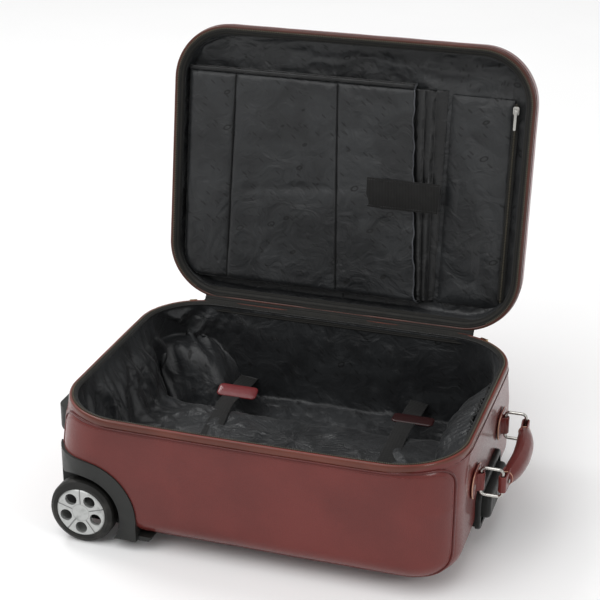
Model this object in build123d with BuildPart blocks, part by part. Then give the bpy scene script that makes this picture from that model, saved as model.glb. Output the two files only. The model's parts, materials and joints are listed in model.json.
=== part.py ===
"""Rolling laptop case, lying on its back with the lid open. Millimetres, +Z up.

X runs along the long side (wheels at -X, carry handle at +X), the lid hinge is on the +Y side.
The origin is on the floor, under the middle of the whole object.
"""
import math
import os

from build123d import *

os.makedirs("parts", exist_ok=True)

# ---- driving dimensions -------------------------------------------------------------------
RIM_LENGTH, RIM_WIDTH, RIM_CORNER = 500.0, 375.0, 85.0
BODY_LENGTH, BODY_WIDTH, BODY_CORNER = 503.0, 379.0, 60.0
BOTTOM_Z, SHOULDER_Z, RIM_Z = 20.0, 112.0, 173.5
BOTTOM_ROUND = 34.0
LEATHER, BOARD, LINING = 2.4, 4.0, 1.6
GAP = 0.3                                   # clearance between pieces that move past each other
SKIN_GAP = 0.1                              # clearance between stacked layers

LID_LENGTH, LID_WIDTH, LID_CORNER, LID_DEPTH = 490.0, 375.0, 75.0, 42.0
LID_ROUND = 12.0
LID_OPEN = 98.4                             # degrees from closed
HINGE_Y, HINGE_Z = 189.5, 174.5
LID_START = 2.0                             # hinge line to the near edge of the lid

WHEEL_X, WHEEL_RADIUS, WHEEL_WIDTH = -210.0, 42.0, 26.0
WHEEL_FACE_Y = 193.5
HUB_RADIUS, HUB_WIDTH = 32.0, 22.0
AXLE_RADIUS = 3.0
BEARING_RADIUS, BEARING_WIDTH = 9.5, 6.0
BEARING_CLEARANCE = 0.05
HOUSING_LENGTH, HOUSING_WIDTH, HOUSING_CORNER = 508.0, 386.0, 60.0
ARCH_RADIUS, WELL_RADIUS = 72.0, 51.0
HOUSING_TOP_Z, HOUSING_FOOT_Z = 114.0, 14.0
FENDER_LOW_Z = 85.0
HOUSING_INNER_Y, WELL_INNER_Y = 148.0, 158.0
SKID_LENGTH = 18.0

KICK_REACH, KICK_HALF_WIDTH, KICK_CORNER = 264.0, 138.0, 20.0
KICK_LOW_Z, KICK_HIGH_Z = 115.0, 151.0
KICK_WALL = 3.0

TUBE_Y, TUBE_Z = 42.0, 55.0
OUTER_TUBE, OUTER_WALL = (24.0, 16.0), 1.2  # section across Y and Z, then wall
MIDDLE_TUBE, MIDDLE_WALL = (20.8, 12.8), 1.0
INNER_TUBE, INNER_WALL = (17.8, 9.8), 1.0
OUTER_TUBE_X = (-205.0, 238.0)
MIDDLE_TUBE_X = (-200.0, 242.0)
INNER_TUBE_X = (-195.0, 252.0)
BEZEL_SIZE, BEZEL_CORNER = (128.0, 56.0), 14.0
BEZEL_FLANGE, BEZEL_REACH = 5.0, 258.0
BEZEL_BACK_X = 232.0
GRIP_SIZE, GRIP_X = (106.0, 32.0), (246.5, 268.0)
BUTTON_SIZE, BUTTON_DEPTH, BUTTON_TRAVEL = (34.0, 12.0), 9.0, 3.5

RING_Y, RING_Z = 75.0, 107.0
RING_X, RING_SPAN, RING_HEIGHT, RING_WIRE, RING_CORNER = 258.5, 26.0, 36.0, 2.0, 5.0
LOOP_CLEARANCE = 0.08
GRIP_BOW, HANDLE_RADIUS = 9.0, 12.0

# ---- derived values -----------------------------------------------------------------------
LID_LEAN = math.radians(LID_OPEN - 90)
LID_UP = Vector(0, math.sin(LID_LEAN), math.cos(LID_LEAN))
LID_OUT = Vector(0, math.cos(LID_LEAN), -math.sin(LID_LEAN))
lid_round_v = LID_START + LID_WIDTH - LID_ROUND
LID_BACK_Y = HINGE_Y + lid_round_v * LID_UP.Y + (LID_DEPTH - LID_ROUND) * LID_OUT.Y + LID_ROUND
HANDLE_REACH = RING_X + RING_SPAN + GRIP_BOW + HANDLE_RADIUS
MID_X = (KICK_REACH - HANDLE_REACH) / 2     # middle of the tub in the row frame
MID_Y = (WHEEL_FACE_Y - LID_BACK_Y) / 2
LID_MID = LID_START + LID_WIDTH / 2


def level(z, x=0, y=0):
    """Horizontal plane at height z, centred on the tub."""
    return Plane(origin=(MID_X + x, MID_Y + y, z), x_dir=(1, 0, 0), z_dir=(0, 0, 1))


def across(x, y=0, z=0):
    """Plane facing +X at x from the tub's middle: local x is Y, local y is Z."""
    return Plane(origin=(MID_X + x, MID_Y + y, z), x_dir=(0, 1, 0), z_dir=(1, 0, 0))


def along(y, x=0, z=0):
    """Plane facing -Y at y from the tub's middle: local x is X, local y is Z."""
    return Plane(origin=(MID_X + x, MID_Y + y, z), x_dir=(1, 0, 0), z_dir=(0, -1, 0))


def lid_plane(height):
    """Plane of the lid: local x is X, local y runs up the lid, height is towards the inside."""
    origin = Vector(MID_X, MID_Y + HINGE_Y, HINGE_Z) - LID_OUT * height
    return Plane(origin=origin, x_dir=(1, 0, 0), z_dir=LID_OUT * -1)


def pin(start, direction, length, radius):
    """Round pin from a start point along a direction."""
    with BuildPart() as made:
        with BuildSketch(Plane(origin=start, z_dir=direction)):
            Circle(radius)
        extrude(amount=length)
    return made.part


def lid_point(x, v, height):
    """Point of the lid's frame."""
    return lid_plane(height).from_local_coords(Vector(x, v, 0))


MIDDLE = along(0)


def keep(part, label):
    """Label a finished piece and write it."""
    part.label = label
    export_step(part, f"parts/{label}.step")


def tub_block(inset):
    """Closed block of the tub's outside shape, moved in by inset."""
    with BuildPart() as block:
        with BuildSketch(level(BOTTOM_Z + inset)):
            RectangleRounded(BODY_LENGTH - 2 * inset, BODY_WIDTH - 2 * inset, BODY_CORNER - inset)
        extrude(amount=SHOULDER_Z - BOTTOM_Z - inset)
        fillet(block.faces().sort_by(Axis.Z)[0].edges(), BOTTOM_ROUND - inset)
        with BuildSketch(level(SHOULDER_Z)):
            RectangleRounded(BODY_LENGTH - 2 * inset, BODY_WIDTH - 2 * inset, BODY_CORNER - inset)
        with BuildSketch(level(RIM_Z)):
            RectangleRounded(RIM_LENGTH - 2 * inset, RIM_WIDTH - 2 * inset, RIM_CORNER - inset)
        loft()
    return block.part


def lid_block(inset, rim=0.0):
    """Closed block of the lid's outside shape, moved in by inset, up to rim below its edge."""
    with BuildPart() as block:
        with BuildSketch(lid_plane(inset - LID_DEPTH)):
            with Locations((0, LID_MID)):
                RectangleRounded(LID_LENGTH - 2 * inset, LID_WIDTH - 2 * inset, LID_CORNER - inset)
        extrude(amount=LID_DEPTH - inset - rim)
        back = block.faces().sort_by(Axis(origin=(0, 0, 0), direction=LID_OUT))[-1]
        fillet(back.edges(), LID_ROUND - inset / 2)
    return block.part


def arch_solid(radius, inner_y, clearance=0.0):
    """Space of one wheel arch at the near side, outside inner_y."""
    left, top = HOUSING_LENGTH, HOUSING_TOP_Z + clearance
    with BuildPart() as arch:
        with BuildSketch(along(-HOUSING_WIDTH, WHEEL_X, WHEEL_RADIUS)):
            Circle(radius + clearance)
            with Locations((-left / 2, (top - WHEEL_RADIUS) / 2 - WHEEL_RADIUS)):
                Rectangle(left, top + WHEEL_RADIUS)
            with Locations((0, -WHEEL_RADIUS)):
                Rectangle(2 * (radius + clearance), 2 * WHEEL_RADIUS)
        extrude(amount=-(HOUSING_WIDTH - inner_y + clearance))
    return arch.part


def far_side(part):
    """The same piece on the far side of the case."""
    return mirror(part, about=MIDDLE)


well_near = arch_solid(ARCH_RADIUS, HOUSING_INNER_Y, SKIN_GAP)
well_far = far_side(well_near)

with BuildPart() as end_opening:
    with BuildSketch(across(BEZEL_BACK_X - BOARD, 0, TUBE_Z)):
        Rectangle(BEZEL_SIZE[0] - 2 * BEZEL_FLANGE, BEZEL_SIZE[1] - 2 * BEZEL_FLANGE)
    extrude(amount=BODY_LENGTH / 2)

# ---- tub: leather cover, boards, wire, lining ---------------------------------------------
cover_inset = LEATHER
board_inset = LEATHER + BOARD
lining_inset = LEATHER + BOARD + LINING

with BuildPart() as tub_leather_cover:
    add(tub_block(0))
    add(tub_block(cover_inset), mode=Mode.SUBTRACT)
    add(well_near, mode=Mode.SUBTRACT)
    add(well_far, mode=Mode.SUBTRACT)
    add(end_opening.part, mode=Mode.SUBTRACT)
keep(tub_leather_cover.part, "tub_leather_cover")

WALL_LOW_Z = BOTTOM_Z + LEATHER + 2 * SKIN_GAP
WALL_HIGH_Z = RIM_Z - 6.0
PANEL_INSET = BOTTOM_ROUND
panel = (BODY_LENGTH - 2 * PANEL_INSET, BODY_WIDTH - 2 * PANEL_INSET, BODY_CORNER / 2)
with BuildPart() as wall_band:
    with BuildSketch(level(WALL_LOW_Z)):
        Rectangle(BODY_LENGTH, BODY_WIDTH)
    extrude(amount=WALL_HIGH_Z - WALL_LOW_Z)

with BuildPart() as tub_wall_board:
    add(tub_block(cover_inset + SKIN_GAP))
    add(tub_block(board_inset), mode=Mode.SUBTRACT)
    add(wall_band.part, mode=Mode.INTERSECT)
    with BuildSketch(level(BOTTOM_Z)):
        RectangleRounded(panel[0] + 2 * GAP, panel[1] + 2 * GAP, panel[2])
    extrude(amount=3 * BOARD, mode=Mode.SUBTRACT)
    add(well_near, mode=Mode.SUBTRACT)
    add(well_far, mode=Mode.SUBTRACT)
    add(end_opening.part, mode=Mode.SUBTRACT)
keep(tub_wall_board.part, "tub_wall_board")

with BuildPart() as back_board:
    with BuildSketch(level(BOTTOM_Z + LEATHER + SKIN_GAP)):
        RectangleRounded(*panel)
    extrude(amount=BOARD - SKIN_GAP)
    add(well_near, mode=Mode.SUBTRACT)
    add(well_far, mode=Mode.SUBTRACT)
keep(back_board.part, "back_board")

WIRE_RADIUS, WIRE_DROP = 1.4, 3.5
wire_inset = LEATHER + SKIN_GAP + WIRE_RADIUS


def rim_wire(plane, length, width, corner, mid_y=0.0):
    """Round wire bent to the outline of a rim, lying in the given plane."""
    with BuildSketch(plane) as outline:
        with Locations((0, mid_y)):
            RectangleRounded(length - 2 * wire_inset, width - 2 * wire_inset, corner - wire_inset)
    path = outline.sketch.wires()[0]
    with BuildPart() as wire:
        with BuildSketch(Plane(origin=path @ 0, z_dir=path % 0)):
            Circle(WIRE_RADIUS)
        sweep(path=path)
    return wire.part


with BuildPart() as tub_frame_wire:
    add(rim_wire(level(RIM_Z - WIRE_DROP), RIM_LENGTH, RIM_WIDTH, RIM_CORNER))
keep(tub_frame_wire.part, "tub_frame_wire")

HUMP_Y, HUMP_Z, HUMP_WALL, HUMP_ROUND = 62.0, 70.0, 2.0, 12.0
HUMP_X = (-250.0, 250.0)
hump_mid_x = sum(HUMP_X) / 2
hump_length = HUMP_X[1] - HUMP_X[0]
board_top_z = BOTTOM_Z + LEATHER + BOARD


def hump_block(inset, low_z):
    """Closed block over the handle tubes, moved in by inset."""
    with BuildPart() as block:
        with BuildSketch(level(low_z, hump_mid_x)):
            Rectangle(hump_length - 2 * inset, 2 * (HUMP_Y - inset))
        extrude(amount=HUMP_Z - inset - low_z)
        fillet(block.edges().filter_by(Axis.X).group_by(Axis.Z)[-1], HUMP_ROUND - inset)
    return block.part


with BuildPart() as tube_cover:
    add(hump_block(0, board_top_z + SKIN_GAP))
    add(hump_block(HUMP_WALL, BOTTOM_Z), mode=Mode.SUBTRACT)
    add(tub_block(board_inset + GAP), mode=Mode.INTERSECT)
    add(end_opening.part, mode=Mode.SUBTRACT)
keep(tube_cover.part, "tube_cover")

HOUSING_CLEAR = 2.5
lining_well = arch_solid(ARCH_RADIUS, HOUSING_INNER_Y, HOUSING_CLEAR)
inner_well = arch_solid(ARCH_RADIUS, HOUSING_INNER_Y, HOUSING_CLEAR + LINING)
with BuildPart() as lining_core:
    add(tub_block(lining_inset))
    add(hump_block(-LINING - SKIN_GAP, BOTTOM_Z), mode=Mode.SUBTRACT)
    add(inner_well, mode=Mode.SUBTRACT)
    add(far_side(inner_well), mode=Mode.SUBTRACT)

with BuildPart() as tub_lining:
    add(tub_block(board_inset + SKIN_GAP))
    add(lining_core.part, mode=Mode.SUBTRACT)
    add(hump_block(-SKIN_GAP, BOTTOM_Z), mode=Mode.SUBTRACT)
    add(lining_well, mode=Mode.SUBTRACT)
    add(far_side(lining_well), mode=Mode.SUBTRACT)
    add(end_opening.part, mode=Mode.SUBTRACT)
keep(tub_lining.part, "tub_lining")

# ---- zipper tapes and hinge welt ----------------------------------------------------------
TAPE_INSET, TAPE_WIDTH, TAPE_THICK = 3.0, 5.0, 0.6
TAPE_END_X = 205.0


def tape_ring(plane, length, width, corner, mid_y, hinge_y):
    """Flat zipper tape round a rim, open along the hinge."""
    outer = (length - 2 * TAPE_INSET, width - 2 * TAPE_INSET, corner - TAPE_INSET)
    inner = (outer[0] - 2 * TAPE_WIDTH, outer[1] - 2 * TAPE_WIDTH, outer[2] - TAPE_WIDTH)
    with BuildPart() as tape:
        with BuildSketch(plane):
            with Locations((0, mid_y)):
                RectangleRounded(*outer)
                RectangleRounded(*inner, mode=Mode.SUBTRACT)
            with Locations((0, hinge_y)):
                Rectangle(2 * TAPE_END_X, width / 2, mode=Mode.SUBTRACT)
        extrude(amount=TAPE_THICK)
    return tape.part


with BuildPart() as tub_zipper_tape:
    add(tape_ring(level(RIM_Z + SKIN_GAP), RIM_LENGTH, RIM_WIDTH, RIM_CORNER, 0, RIM_WIDTH / 2))
keep(tub_zipper_tape.part, "tub_zipper_tape")

WELT_LENGTH, WELT_RADIUS = 380.0, 1.1
with BuildPart() as hinge_welt:
    with BuildSketch(across(-WELT_LENGTH / 2, HINGE_Y, HINGE_Z)):
        Circle(WELT_RADIUS)
    extrude(amount=WELT_LENGTH)
keep(hinge_welt.part, "hinge_welt")

# ---- wheel housings, axles, wheels --------------------------------------------------------
housing_plan = (HOUSING_LENGTH, HOUSING_WIDTH, HOUSING_CORNER)
BOSS_RADIUS, BOSS_FACE_Y = 9.0, 167.0
AXLE_TIP_Y, AXLE_HEAD_Y = 187.8, 146.0
SCREW_RADIUS, SCREW_DEPTH = 2.0, 7.0
SCREW_SPOTS = ((-232.0, 101.0), (-180.0, 98.0), (-152.0, 60.0), (-151.0, 26.0))
SKID_SETBACK, SKID_BEVEL = 6.0, 4.0
skid_length_y = WHEEL_FACE_Y - SKID_SETBACK - HOUSING_INNER_Y

with BuildPart() as wheel_housing_near:
    with BuildSketch(level(HOUSING_FOOT_Z)):
        RectangleRounded(*housing_plan)
    extrude(amount=HOUSING_TOP_Z - HOUSING_FOOT_Z)
    add(arch_solid(ARCH_RADIUS, HOUSING_INNER_Y, -SKIN_GAP), mode=Mode.INTERSECT)
    with BuildSketch(along(-HOUSING_WIDTH, WHEEL_X, WHEEL_RADIUS)):
        Circle(WELL_RADIUS)
        with Locations((-HOUSING_LENGTH / 2, FENDER_LOW_Z - WHEEL_RADIUS - HOUSING_LENGTH / 2)):
            Rectangle(HOUSING_LENGTH, HOUSING_LENGTH)
    extrude(amount=-(HOUSING_WIDTH - WELL_INNER_Y), mode=Mode.SUBTRACT)
    with BuildSketch(along(-WELL_INNER_Y, WHEEL_X, WHEEL_RADIUS)):
        Circle(BOSS_RADIUS)
    extrude(amount=BOSS_FACE_Y - WELL_INNER_Y)
    with BuildSketch(along(-HOUSING_WIDTH, WHEEL_X, WHEEL_RADIUS)):
        Circle(AXLE_RADIUS)
    extrude(amount=-HOUSING_WIDTH, mode=Mode.SUBTRACT)
    with BuildSketch(level(HOUSING_FOOT_Z, WHEEL_X + ARCH_RADIUS + SKID_LENGTH / 2 - 1)):
        with Locations((0, -HOUSING_INNER_Y - skid_length_y / 2)):
            Rectangle(SKID_LENGTH + 2, skid_length_y)
    extrude(amount=BOTTOM_Z - SKIN_GAP - HOUSING_FOOT_Z)
    skid_edges = wheel_housing_near.edges().filter_by(Axis.Y).group_by(Axis.X)[-1]
    chamfer(skid_edges.sort_by(Axis.Z)[0], SKID_BEVEL)
    for x, z in SCREW_SPOTS:
        with BuildSketch(along(-HOUSING_INNER_Y, x, z)):
            Circle(SCREW_RADIUS)
        extrude(amount=SCREW_DEPTH, mode=Mode.SUBTRACT)

keep(wheel_housing_near.part, "wheel_housing_near")
keep(far_side(wheel_housing_near.part), "wheel_housing_far")

with BuildPart() as near_screws:
    for x, z in SCREW_SPOTS:
        with BuildSketch(along(-HOUSING_INNER_Y - SKIN_GAP, x, z)):
            Circle(SCREW_RADIUS)
        extrude(amount=SCREW_DEPTH - 2 * SKIN_GAP)
with BuildPart() as housing_screws:
    add(near_screws.part)
    add(far_side(near_screws.part))
keep(housing_screws.part, "housing_screws")

with BuildPart() as axle_near:
    with BuildSketch(along(-HOUSING_INNER_Y, WHEEL_X, WHEEL_RADIUS)):
        Circle(AXLE_RADIUS)
    extrude(amount=AXLE_TIP_Y - HOUSING_INNER_Y)
    with BuildSketch(along(-AXLE_HEAD_Y, WHEEL_X, WHEEL_RADIUS)):
        RegularPolygon(AXLE_RADIUS * 1.5, 6)
    extrude(amount=HOUSING_INNER_Y - AXLE_HEAD_Y)
keep(axle_near.part, "axle_near")
keep(far_side(axle_near.part), "axle_far")

SPOKE_HOLES, SPOKE_HOLE_RADIUS, SPOKE_CIRCLE = 5, 7.6, 20.5
HUB_FACE, HUB_RIM = 5.0, 3.5
HUB_BOSS_RADIUS = 12.0
boss_depth = WHEEL_FACE_Y - BOSS_FACE_Y - 1.0


def turned(points):
    """Solid of revolution about the wheel axis from (radius, depth behind the wheel face) points."""
    start = Vector(MID_X + WHEEL_X, MID_Y - WHEEL_FACE_Y, WHEEL_RADIUS)
    with BuildPart() as body:
        with BuildSketch(Plane(origin=start, x_dir=(1, 0, 0), z_dir=(0, 0, 1))):
            with BuildLine():
                Polyline(*points, close=True)
            make_face()
        revolve(axis=Axis(origin=start, direction=(0, 1, 0)))
    return body.part


with BuildPart() as wheel_hub_near:
    add(turned([
        (0, 0.6), (9, 0.6), (HUB_RADIUS - 2, 0), (HUB_RADIUS, 1.5), (HUB_RADIUS, HUB_WIDTH),
        (HUB_RADIUS - HUB_RIM, HUB_WIDTH), (HUB_RADIUS - HUB_RIM, HUB_FACE), (HUB_BOSS_RADIUS, HUB_FACE),
        (HUB_BOSS_RADIUS, boss_depth), (BEARING_RADIUS, boss_depth), (BEARING_RADIUS, HUB_FACE),
        (0, HUB_FACE),
    ]))
    with BuildSketch(along(-WHEEL_FACE_Y - 1, WHEEL_X, WHEEL_RADIUS)):
        with PolarLocations(SPOKE_CIRCLE, SPOKE_HOLES, start_angle=-90):
            Circle(SPOKE_HOLE_RADIUS)
    extrude(amount=-HUB_FACE - 2, mode=Mode.SUBTRACT)
keep(wheel_hub_near.part, "wheel_hub_near")
keep(far_side(wheel_hub_near.part), "wheel_hub_far")

with BuildPart() as wheel_tyre_near:
    add(turned([
        (HUB_RADIUS, 0.5), (WHEEL_RADIUS - 6, 0), (WHEEL_RADIUS - 1.5, 3), (WHEEL_RADIUS, 7),
        (WHEEL_RADIUS, WHEEL_WIDTH - 7), (WHEEL_RADIUS - 1.5, WHEEL_WIDTH - 3),
        (WHEEL_RADIUS - 6, WHEEL_WIDTH), (HUB_RADIUS, WHEEL_WIDTH - 0.5),
    ]))
keep(wheel_tyre_near.part, "wheel_tyre_near")
keep(far_side(wheel_tyre_near.part), "wheel_tyre_far")

bore = AXLE_RADIUS + BEARING_CLEARANCE
with BuildPart() as wheel_bearings_near:
    for depth in (HUB_FACE + 1.0, boss_depth - BEARING_WIDTH):
        end = depth + BEARING_WIDTH
        add(turned([(bore, depth), (BEARING_RADIUS, depth), (BEARING_RADIUS, end), (bore, end)]))
keep(wheel_bearings_near.part, "wheel_bearings_near")
keep(far_side(wheel_bearings_near.part), "wheel_bearings_far")

# ---- standing foot and rest feet ----------------------------------------------------------
KICK_INNER_X, KICK_ROUND = 225.0, 8.0
kick_length = KICK_REACH - KICK_INNER_X


def kick_block(wall):
    """Block of the standing foot's outline, moved in by its wall."""
    with BuildPart() as block:
        with BuildSketch(level(KICK_LOW_Z - wall, -KICK_INNER_X - kick_length / 2)):
            RectangleRounded(kick_length - 2 * wall, 2 * (KICK_HALF_WIDTH - wall), KICK_CORNER - wall - 1)
        extrude(amount=KICK_HIGH_Z - KICK_LOW_Z)
        fillet(block.faces().sort_by(Axis.Z)[0].edges(), KICK_ROUND)
    return block.part


with BuildPart() as standing_foot:
    add(kick_block(0))
    add(kick_block(KICK_WALL), mode=Mode.SUBTRACT)
    add(tub_block(-SKIN_GAP), mode=Mode.SUBTRACT)
keep(standing_foot.part, "standing_foot")

FOOT_X, FOOT_Y, FOOT_RADIUS, FOOT_FLARE = 185.0, 125.0, 12.0, 3.0
with BuildPart() as rest_feet:
    for y in (-FOOT_Y, FOOT_Y):
        with BuildSketch(level(0, FOOT_X, y)):
            Circle(FOOT_RADIUS)
        with BuildSketch(level(BOTTOM_Z, FOOT_X, y)):
            Circle(FOOT_RADIUS + FOOT_FLARE)
        loft()
keep(rest_feet.part, "rest_feet")

# ---- pull-out handle ----------------------------------------------------------------------
TUBE_ROUND = 2.5


def tube_pair(size, wall, ends):
    """Two rectangular tubes side by side, from ends[0] to ends[1] along X."""
    with BuildPart() as pair:
        for y in (-TUBE_Y, TUBE_Y):
            with BuildSketch(across(ends[0], y, TUBE_Z)):
                RectangleRounded(size[0], size[1], TUBE_ROUND)
                inside = (size[0] - 2 * wall, size[1] - 2 * wall, TUBE_ROUND - wall)
                RectangleRounded(*inside, mode=Mode.SUBTRACT)
            extrude(amount=ends[1] - ends[0])
    return pair.part


outer_tubes = tube_pair(OUTER_TUBE, OUTER_WALL, OUTER_TUBE_X)
keep(outer_tubes, "outer_tubes")

BRACKET_LENGTH, BRACKET_WALL, BRACKET_ROUND = 14.0, 3.0, 4.0
bracket_size = (2 * (TUBE_Y + BRACKET_WALL) + OUTER_TUBE[0], OUTER_TUBE[1] + 2 * BRACKET_WALL)
with BuildPart() as tube_bracket:
    with BuildSketch(across(OUTER_TUBE_X[0] - BRACKET_WALL, 0, TUBE_Z)):
        RectangleRounded(*bracket_size, BRACKET_ROUND)
    extrude(amount=BRACKET_LENGTH)
    for y in (-TUBE_Y, TUBE_Y):
        with BuildSketch(across(OUTER_TUBE_X[0] - SKIN_GAP, y, TUBE_Z)):
            RectangleRounded(OUTER_TUBE[0] + 2 * SKIN_GAP, OUTER_TUBE[1] + 2 * SKIN_GAP, TUBE_ROUND)
        extrude(amount=BRACKET_LENGTH, mode=Mode.SUBTRACT)
keep(tube_bracket.part, "tube_bracket")

BEZEL_WALL, BEZEL_BACK, BEZEL_ROUND = 2.5, 4.0, 3.0
neck = (BEZEL_SIZE[0] - 2 * BEZEL_FLANGE - 1, BEZEL_SIZE[1] - 2 * BEZEL_FLANGE - 1)
end_face_x = BODY_LENGTH / 2 + SKIN_GAP
with BuildPart() as handle_bezel:
    with BuildSketch(across(BEZEL_BACK_X, 0, TUBE_Z)):
        Rectangle(*neck)
    extrude(amount=BEZEL_REACH - BEZEL_BACK_X)
    with BuildSketch(across(end_face_x, 0, TUBE_Z)):
        RectangleRounded(*BEZEL_SIZE, BEZEL_CORNER)
    extrude(amount=BEZEL_REACH - end_face_x)
    fillet(handle_bezel.faces().sort_by(Axis.X)[-1].edges(), BEZEL_ROUND)
    with BuildSketch(across(BEZEL_BACK_X + BEZEL_BACK, 0, TUBE_Z)):
        RectangleRounded(neck[0] - 2 * BEZEL_WALL, neck[1] - 2 * BEZEL_WALL, BEZEL_ROUND + 1)
    extrude(amount=BEZEL_REACH, mode=Mode.SUBTRACT)
    for y in (-TUBE_Y, TUBE_Y):
        with BuildSketch(across(BEZEL_BACK_X - 1, y, TUBE_Z)):
            RectangleRounded(OUTER_TUBE[0] + 2 * SKIN_GAP, OUTER_TUBE[1] + 2 * SKIN_GAP, TUBE_ROUND)
        extrude(amount=BEZEL_BACK + 2, mode=Mode.SUBTRACT)
keep(handle_bezel.part, "handle_bezel")

middle_tubes = tube_pair(MIDDLE_TUBE, MIDDLE_WALL, MIDDLE_TUBE_X)
keep(middle_tubes, "middle_tubes")

COLLAR_LIP = 2.5
collar_seat = (MIDDLE_TUBE[0] + SKIN_GAP, MIDDLE_TUBE[1] + SKIN_GAP, TUBE_ROUND)
collar_mouth = (INNER_TUBE[0] + 2 * GAP, INNER_TUBE[1] + 2 * GAP, TUBE_ROUND)
with BuildPart() as middle_collars:
    for y in (-TUBE_Y, TUBE_Y):
        with BuildSketch(across(OUTER_TUBE_X[1] + GAP, y, TUBE_Z)):
            RectangleRounded(*OUTER_TUBE, TUBE_ROUND)
            RectangleRounded(*collar_seat, mode=Mode.SUBTRACT)
        extrude(amount=MIDDLE_TUBE_X[1] - OUTER_TUBE_X[1] - GAP)
        with BuildSketch(across(MIDDLE_TUBE_X[1], y, TUBE_Z)):
            RectangleRounded(*OUTER_TUBE, TUBE_ROUND)
            RectangleRounded(*collar_mouth, mode=Mode.SUBTRACT)
        extrude(amount=COLLAR_LIP)
keep(middle_collars.part, "middle_collars")

inner_tubes = tube_pair(INNER_TUBE, INNER_WALL, INNER_TUBE_X)
keep(inner_tubes, "inner_tubes")

button_seat_x = GRIP_X[1] - BUTTON_DEPTH - 1
SPRING_RADIUS, SPRING_WIRE, SPRING_WELL, SPRING_PITCH = 3.0, 0.5, 6.0, 1.9
GRIP_CORNER, GRIP_ROUND = 12.0, 6.0
BUTTON_CORNER, BUTTON_ROUND, BUTTON_PROUD = 3.7, 1.2, 0.6
with BuildPart() as grip_shell:
    with BuildSketch(across(GRIP_X[0], 0, TUBE_Z)):
        RectangleRounded(*GRIP_SIZE, GRIP_CORNER)
    extrude(amount=GRIP_X[1] - GRIP_X[0])
    fillet(grip_shell.faces().sort_by(Axis.X)[-1].edges(), GRIP_ROUND)
    for y in (-TUBE_Y, TUBE_Y):
        with BuildSketch(across(GRIP_X[0], y, TUBE_Z)):
            RectangleRounded(INNER_TUBE[0] + 2 * SKIN_GAP, INNER_TUBE[1] + 2 * SKIN_GAP, TUBE_ROUND)
        extrude(amount=INNER_TUBE_X[1] - GRIP_X[0] + SKIN_GAP, mode=Mode.SUBTRACT)
    with BuildSketch(across(button_seat_x, 0, TUBE_Z)):
        RectangleRounded(BUTTON_SIZE[0] + 2 * GAP, BUTTON_SIZE[1] + 2 * GAP, BUTTON_CORNER + GAP)
    extrude(amount=GRIP_X[1], mode=Mode.SUBTRACT)
    with BuildSketch(across(button_seat_x - SPRING_WELL, 0, TUBE_Z)):
        Circle(SPRING_RADIUS + 1)
    extrude(amount=SPRING_WELL, mode=Mode.SUBTRACT)
keep(grip_shell.part, "grip_shell")

button_back_x = button_seat_x + BUTTON_TRAVEL + GAP
with BuildPart() as grip_button:
    with BuildSketch(across(button_back_x, 0, TUBE_Z)):
        RectangleRounded(*BUTTON_SIZE, BUTTON_CORNER)
    extrude(amount=GRIP_X[1] + BUTTON_PROUD - button_back_x)
    fillet(grip_button.faces().sort_by(Axis.X)[-1].edges(), BUTTON_ROUND)
keep(grip_button.part, "grip_button")

spring_start_x = button_seat_x - SPRING_WELL + SPRING_WIRE + SKIN_GAP
spring_length = button_back_x - SPRING_WIRE - SKIN_GAP - spring_start_x
spring_path = Helix(
    SPRING_PITCH, spring_length, SPRING_RADIUS,
    center=(MID_X + spring_start_x, MID_Y, TUBE_Z), direction=(1, 0, 0),
)
with BuildPart() as button_spring:
    with BuildSketch(Plane(origin=spring_path @ 0, z_dir=spring_path % 0)):
        Circle(SPRING_WIRE)
    sweep(path=spring_path)
keep(button_spring.part, "button_spring")

# ---- carry handle -------------------------------------------------------------------------
CHAPE_THICK, CHAPE_WIDTH, CHAPE_LENGTH = 2.6, 36.0, 52.0
LOOP_RADIUS, LOOP_HALF = 4.6, 12.5
chape_face_x = end_face_x + CHAPE_THICK
chape_web = RING_X - chape_face_x + 1.0

with BuildPart() as handle_chapes:
    for side in (-1, 1):
        with BuildSketch(across(end_face_x, side * (RING_Y + 2), RING_Z)):
            RectangleRounded(CHAPE_LENGTH, CHAPE_WIDTH, CHAPE_WIDTH / 2 - 1)
        extrude(amount=CHAPE_THICK)
        with BuildSketch(level(RING_Z - LOOP_HALF, RING_X, side * RING_Y)):
            Circle(LOOP_RADIUS)
            with Locations((-chape_web / 2, 0)):
                Rectangle(chape_web, 2 * LOOP_RADIUS)
        extrude(amount=2 * LOOP_HALF)
        with BuildSketch(level(RING_Z - RING_HEIGHT, RING_X, side * RING_Y)):
            Circle(RING_WIRE + LOOP_CLEARANCE)
        extrude(amount=2 * RING_HEIGHT, mode=Mode.SUBTRACT)
keep(handle_chapes.part, "handle_chapes")

RIVET_RADIUS, RIVET_HIGH, RIVET_OFFSET = 3.2, 1.4, 17.0
with BuildPart() as chape_rivets:
    for side in (-1, 1):
        with BuildSketch(across(chape_face_x + SKIN_GAP, side * (RING_Y + RIVET_OFFSET), RING_Z)):
            Circle(RIVET_RADIUS)
        extrude(amount=RIVET_HIGH)
keep(chape_rivets.part, "chape_rivets")


def ring_loop(y):
    """Rectangular wire ring standing out from the end face, in a plane across Y."""
    with BuildSketch(along(y, RING_X + RING_SPAN / 2, RING_Z)) as outline:
        RectangleRounded(RING_SPAN, RING_HEIGHT, RING_CORNER)
    path = outline.sketch.wires()[0]
    with BuildPart() as ring:
        with BuildSketch(Plane(origin=path @ 0, z_dir=path % 0)):
            Circle(RING_WIRE)
        sweep(path=path)
    return ring.part


for y, label in ((-RING_Y, "handle_ring_near"), (RING_Y, "handle_ring_far")):
    keep(ring_loop(y), label)

grip_pivot_x = RING_X + RING_SPAN
ROLL_END = 15.0                             # ring axis to the end of the padded roll
roll_half = RING_Y - ROLL_END
bow_end_x = grip_pivot_x + 2.0
bow_mid_x = grip_pivot_x + GRIP_BOW
CORE_WIDTH, CORE_THICK = 12.0, 1.5

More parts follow.
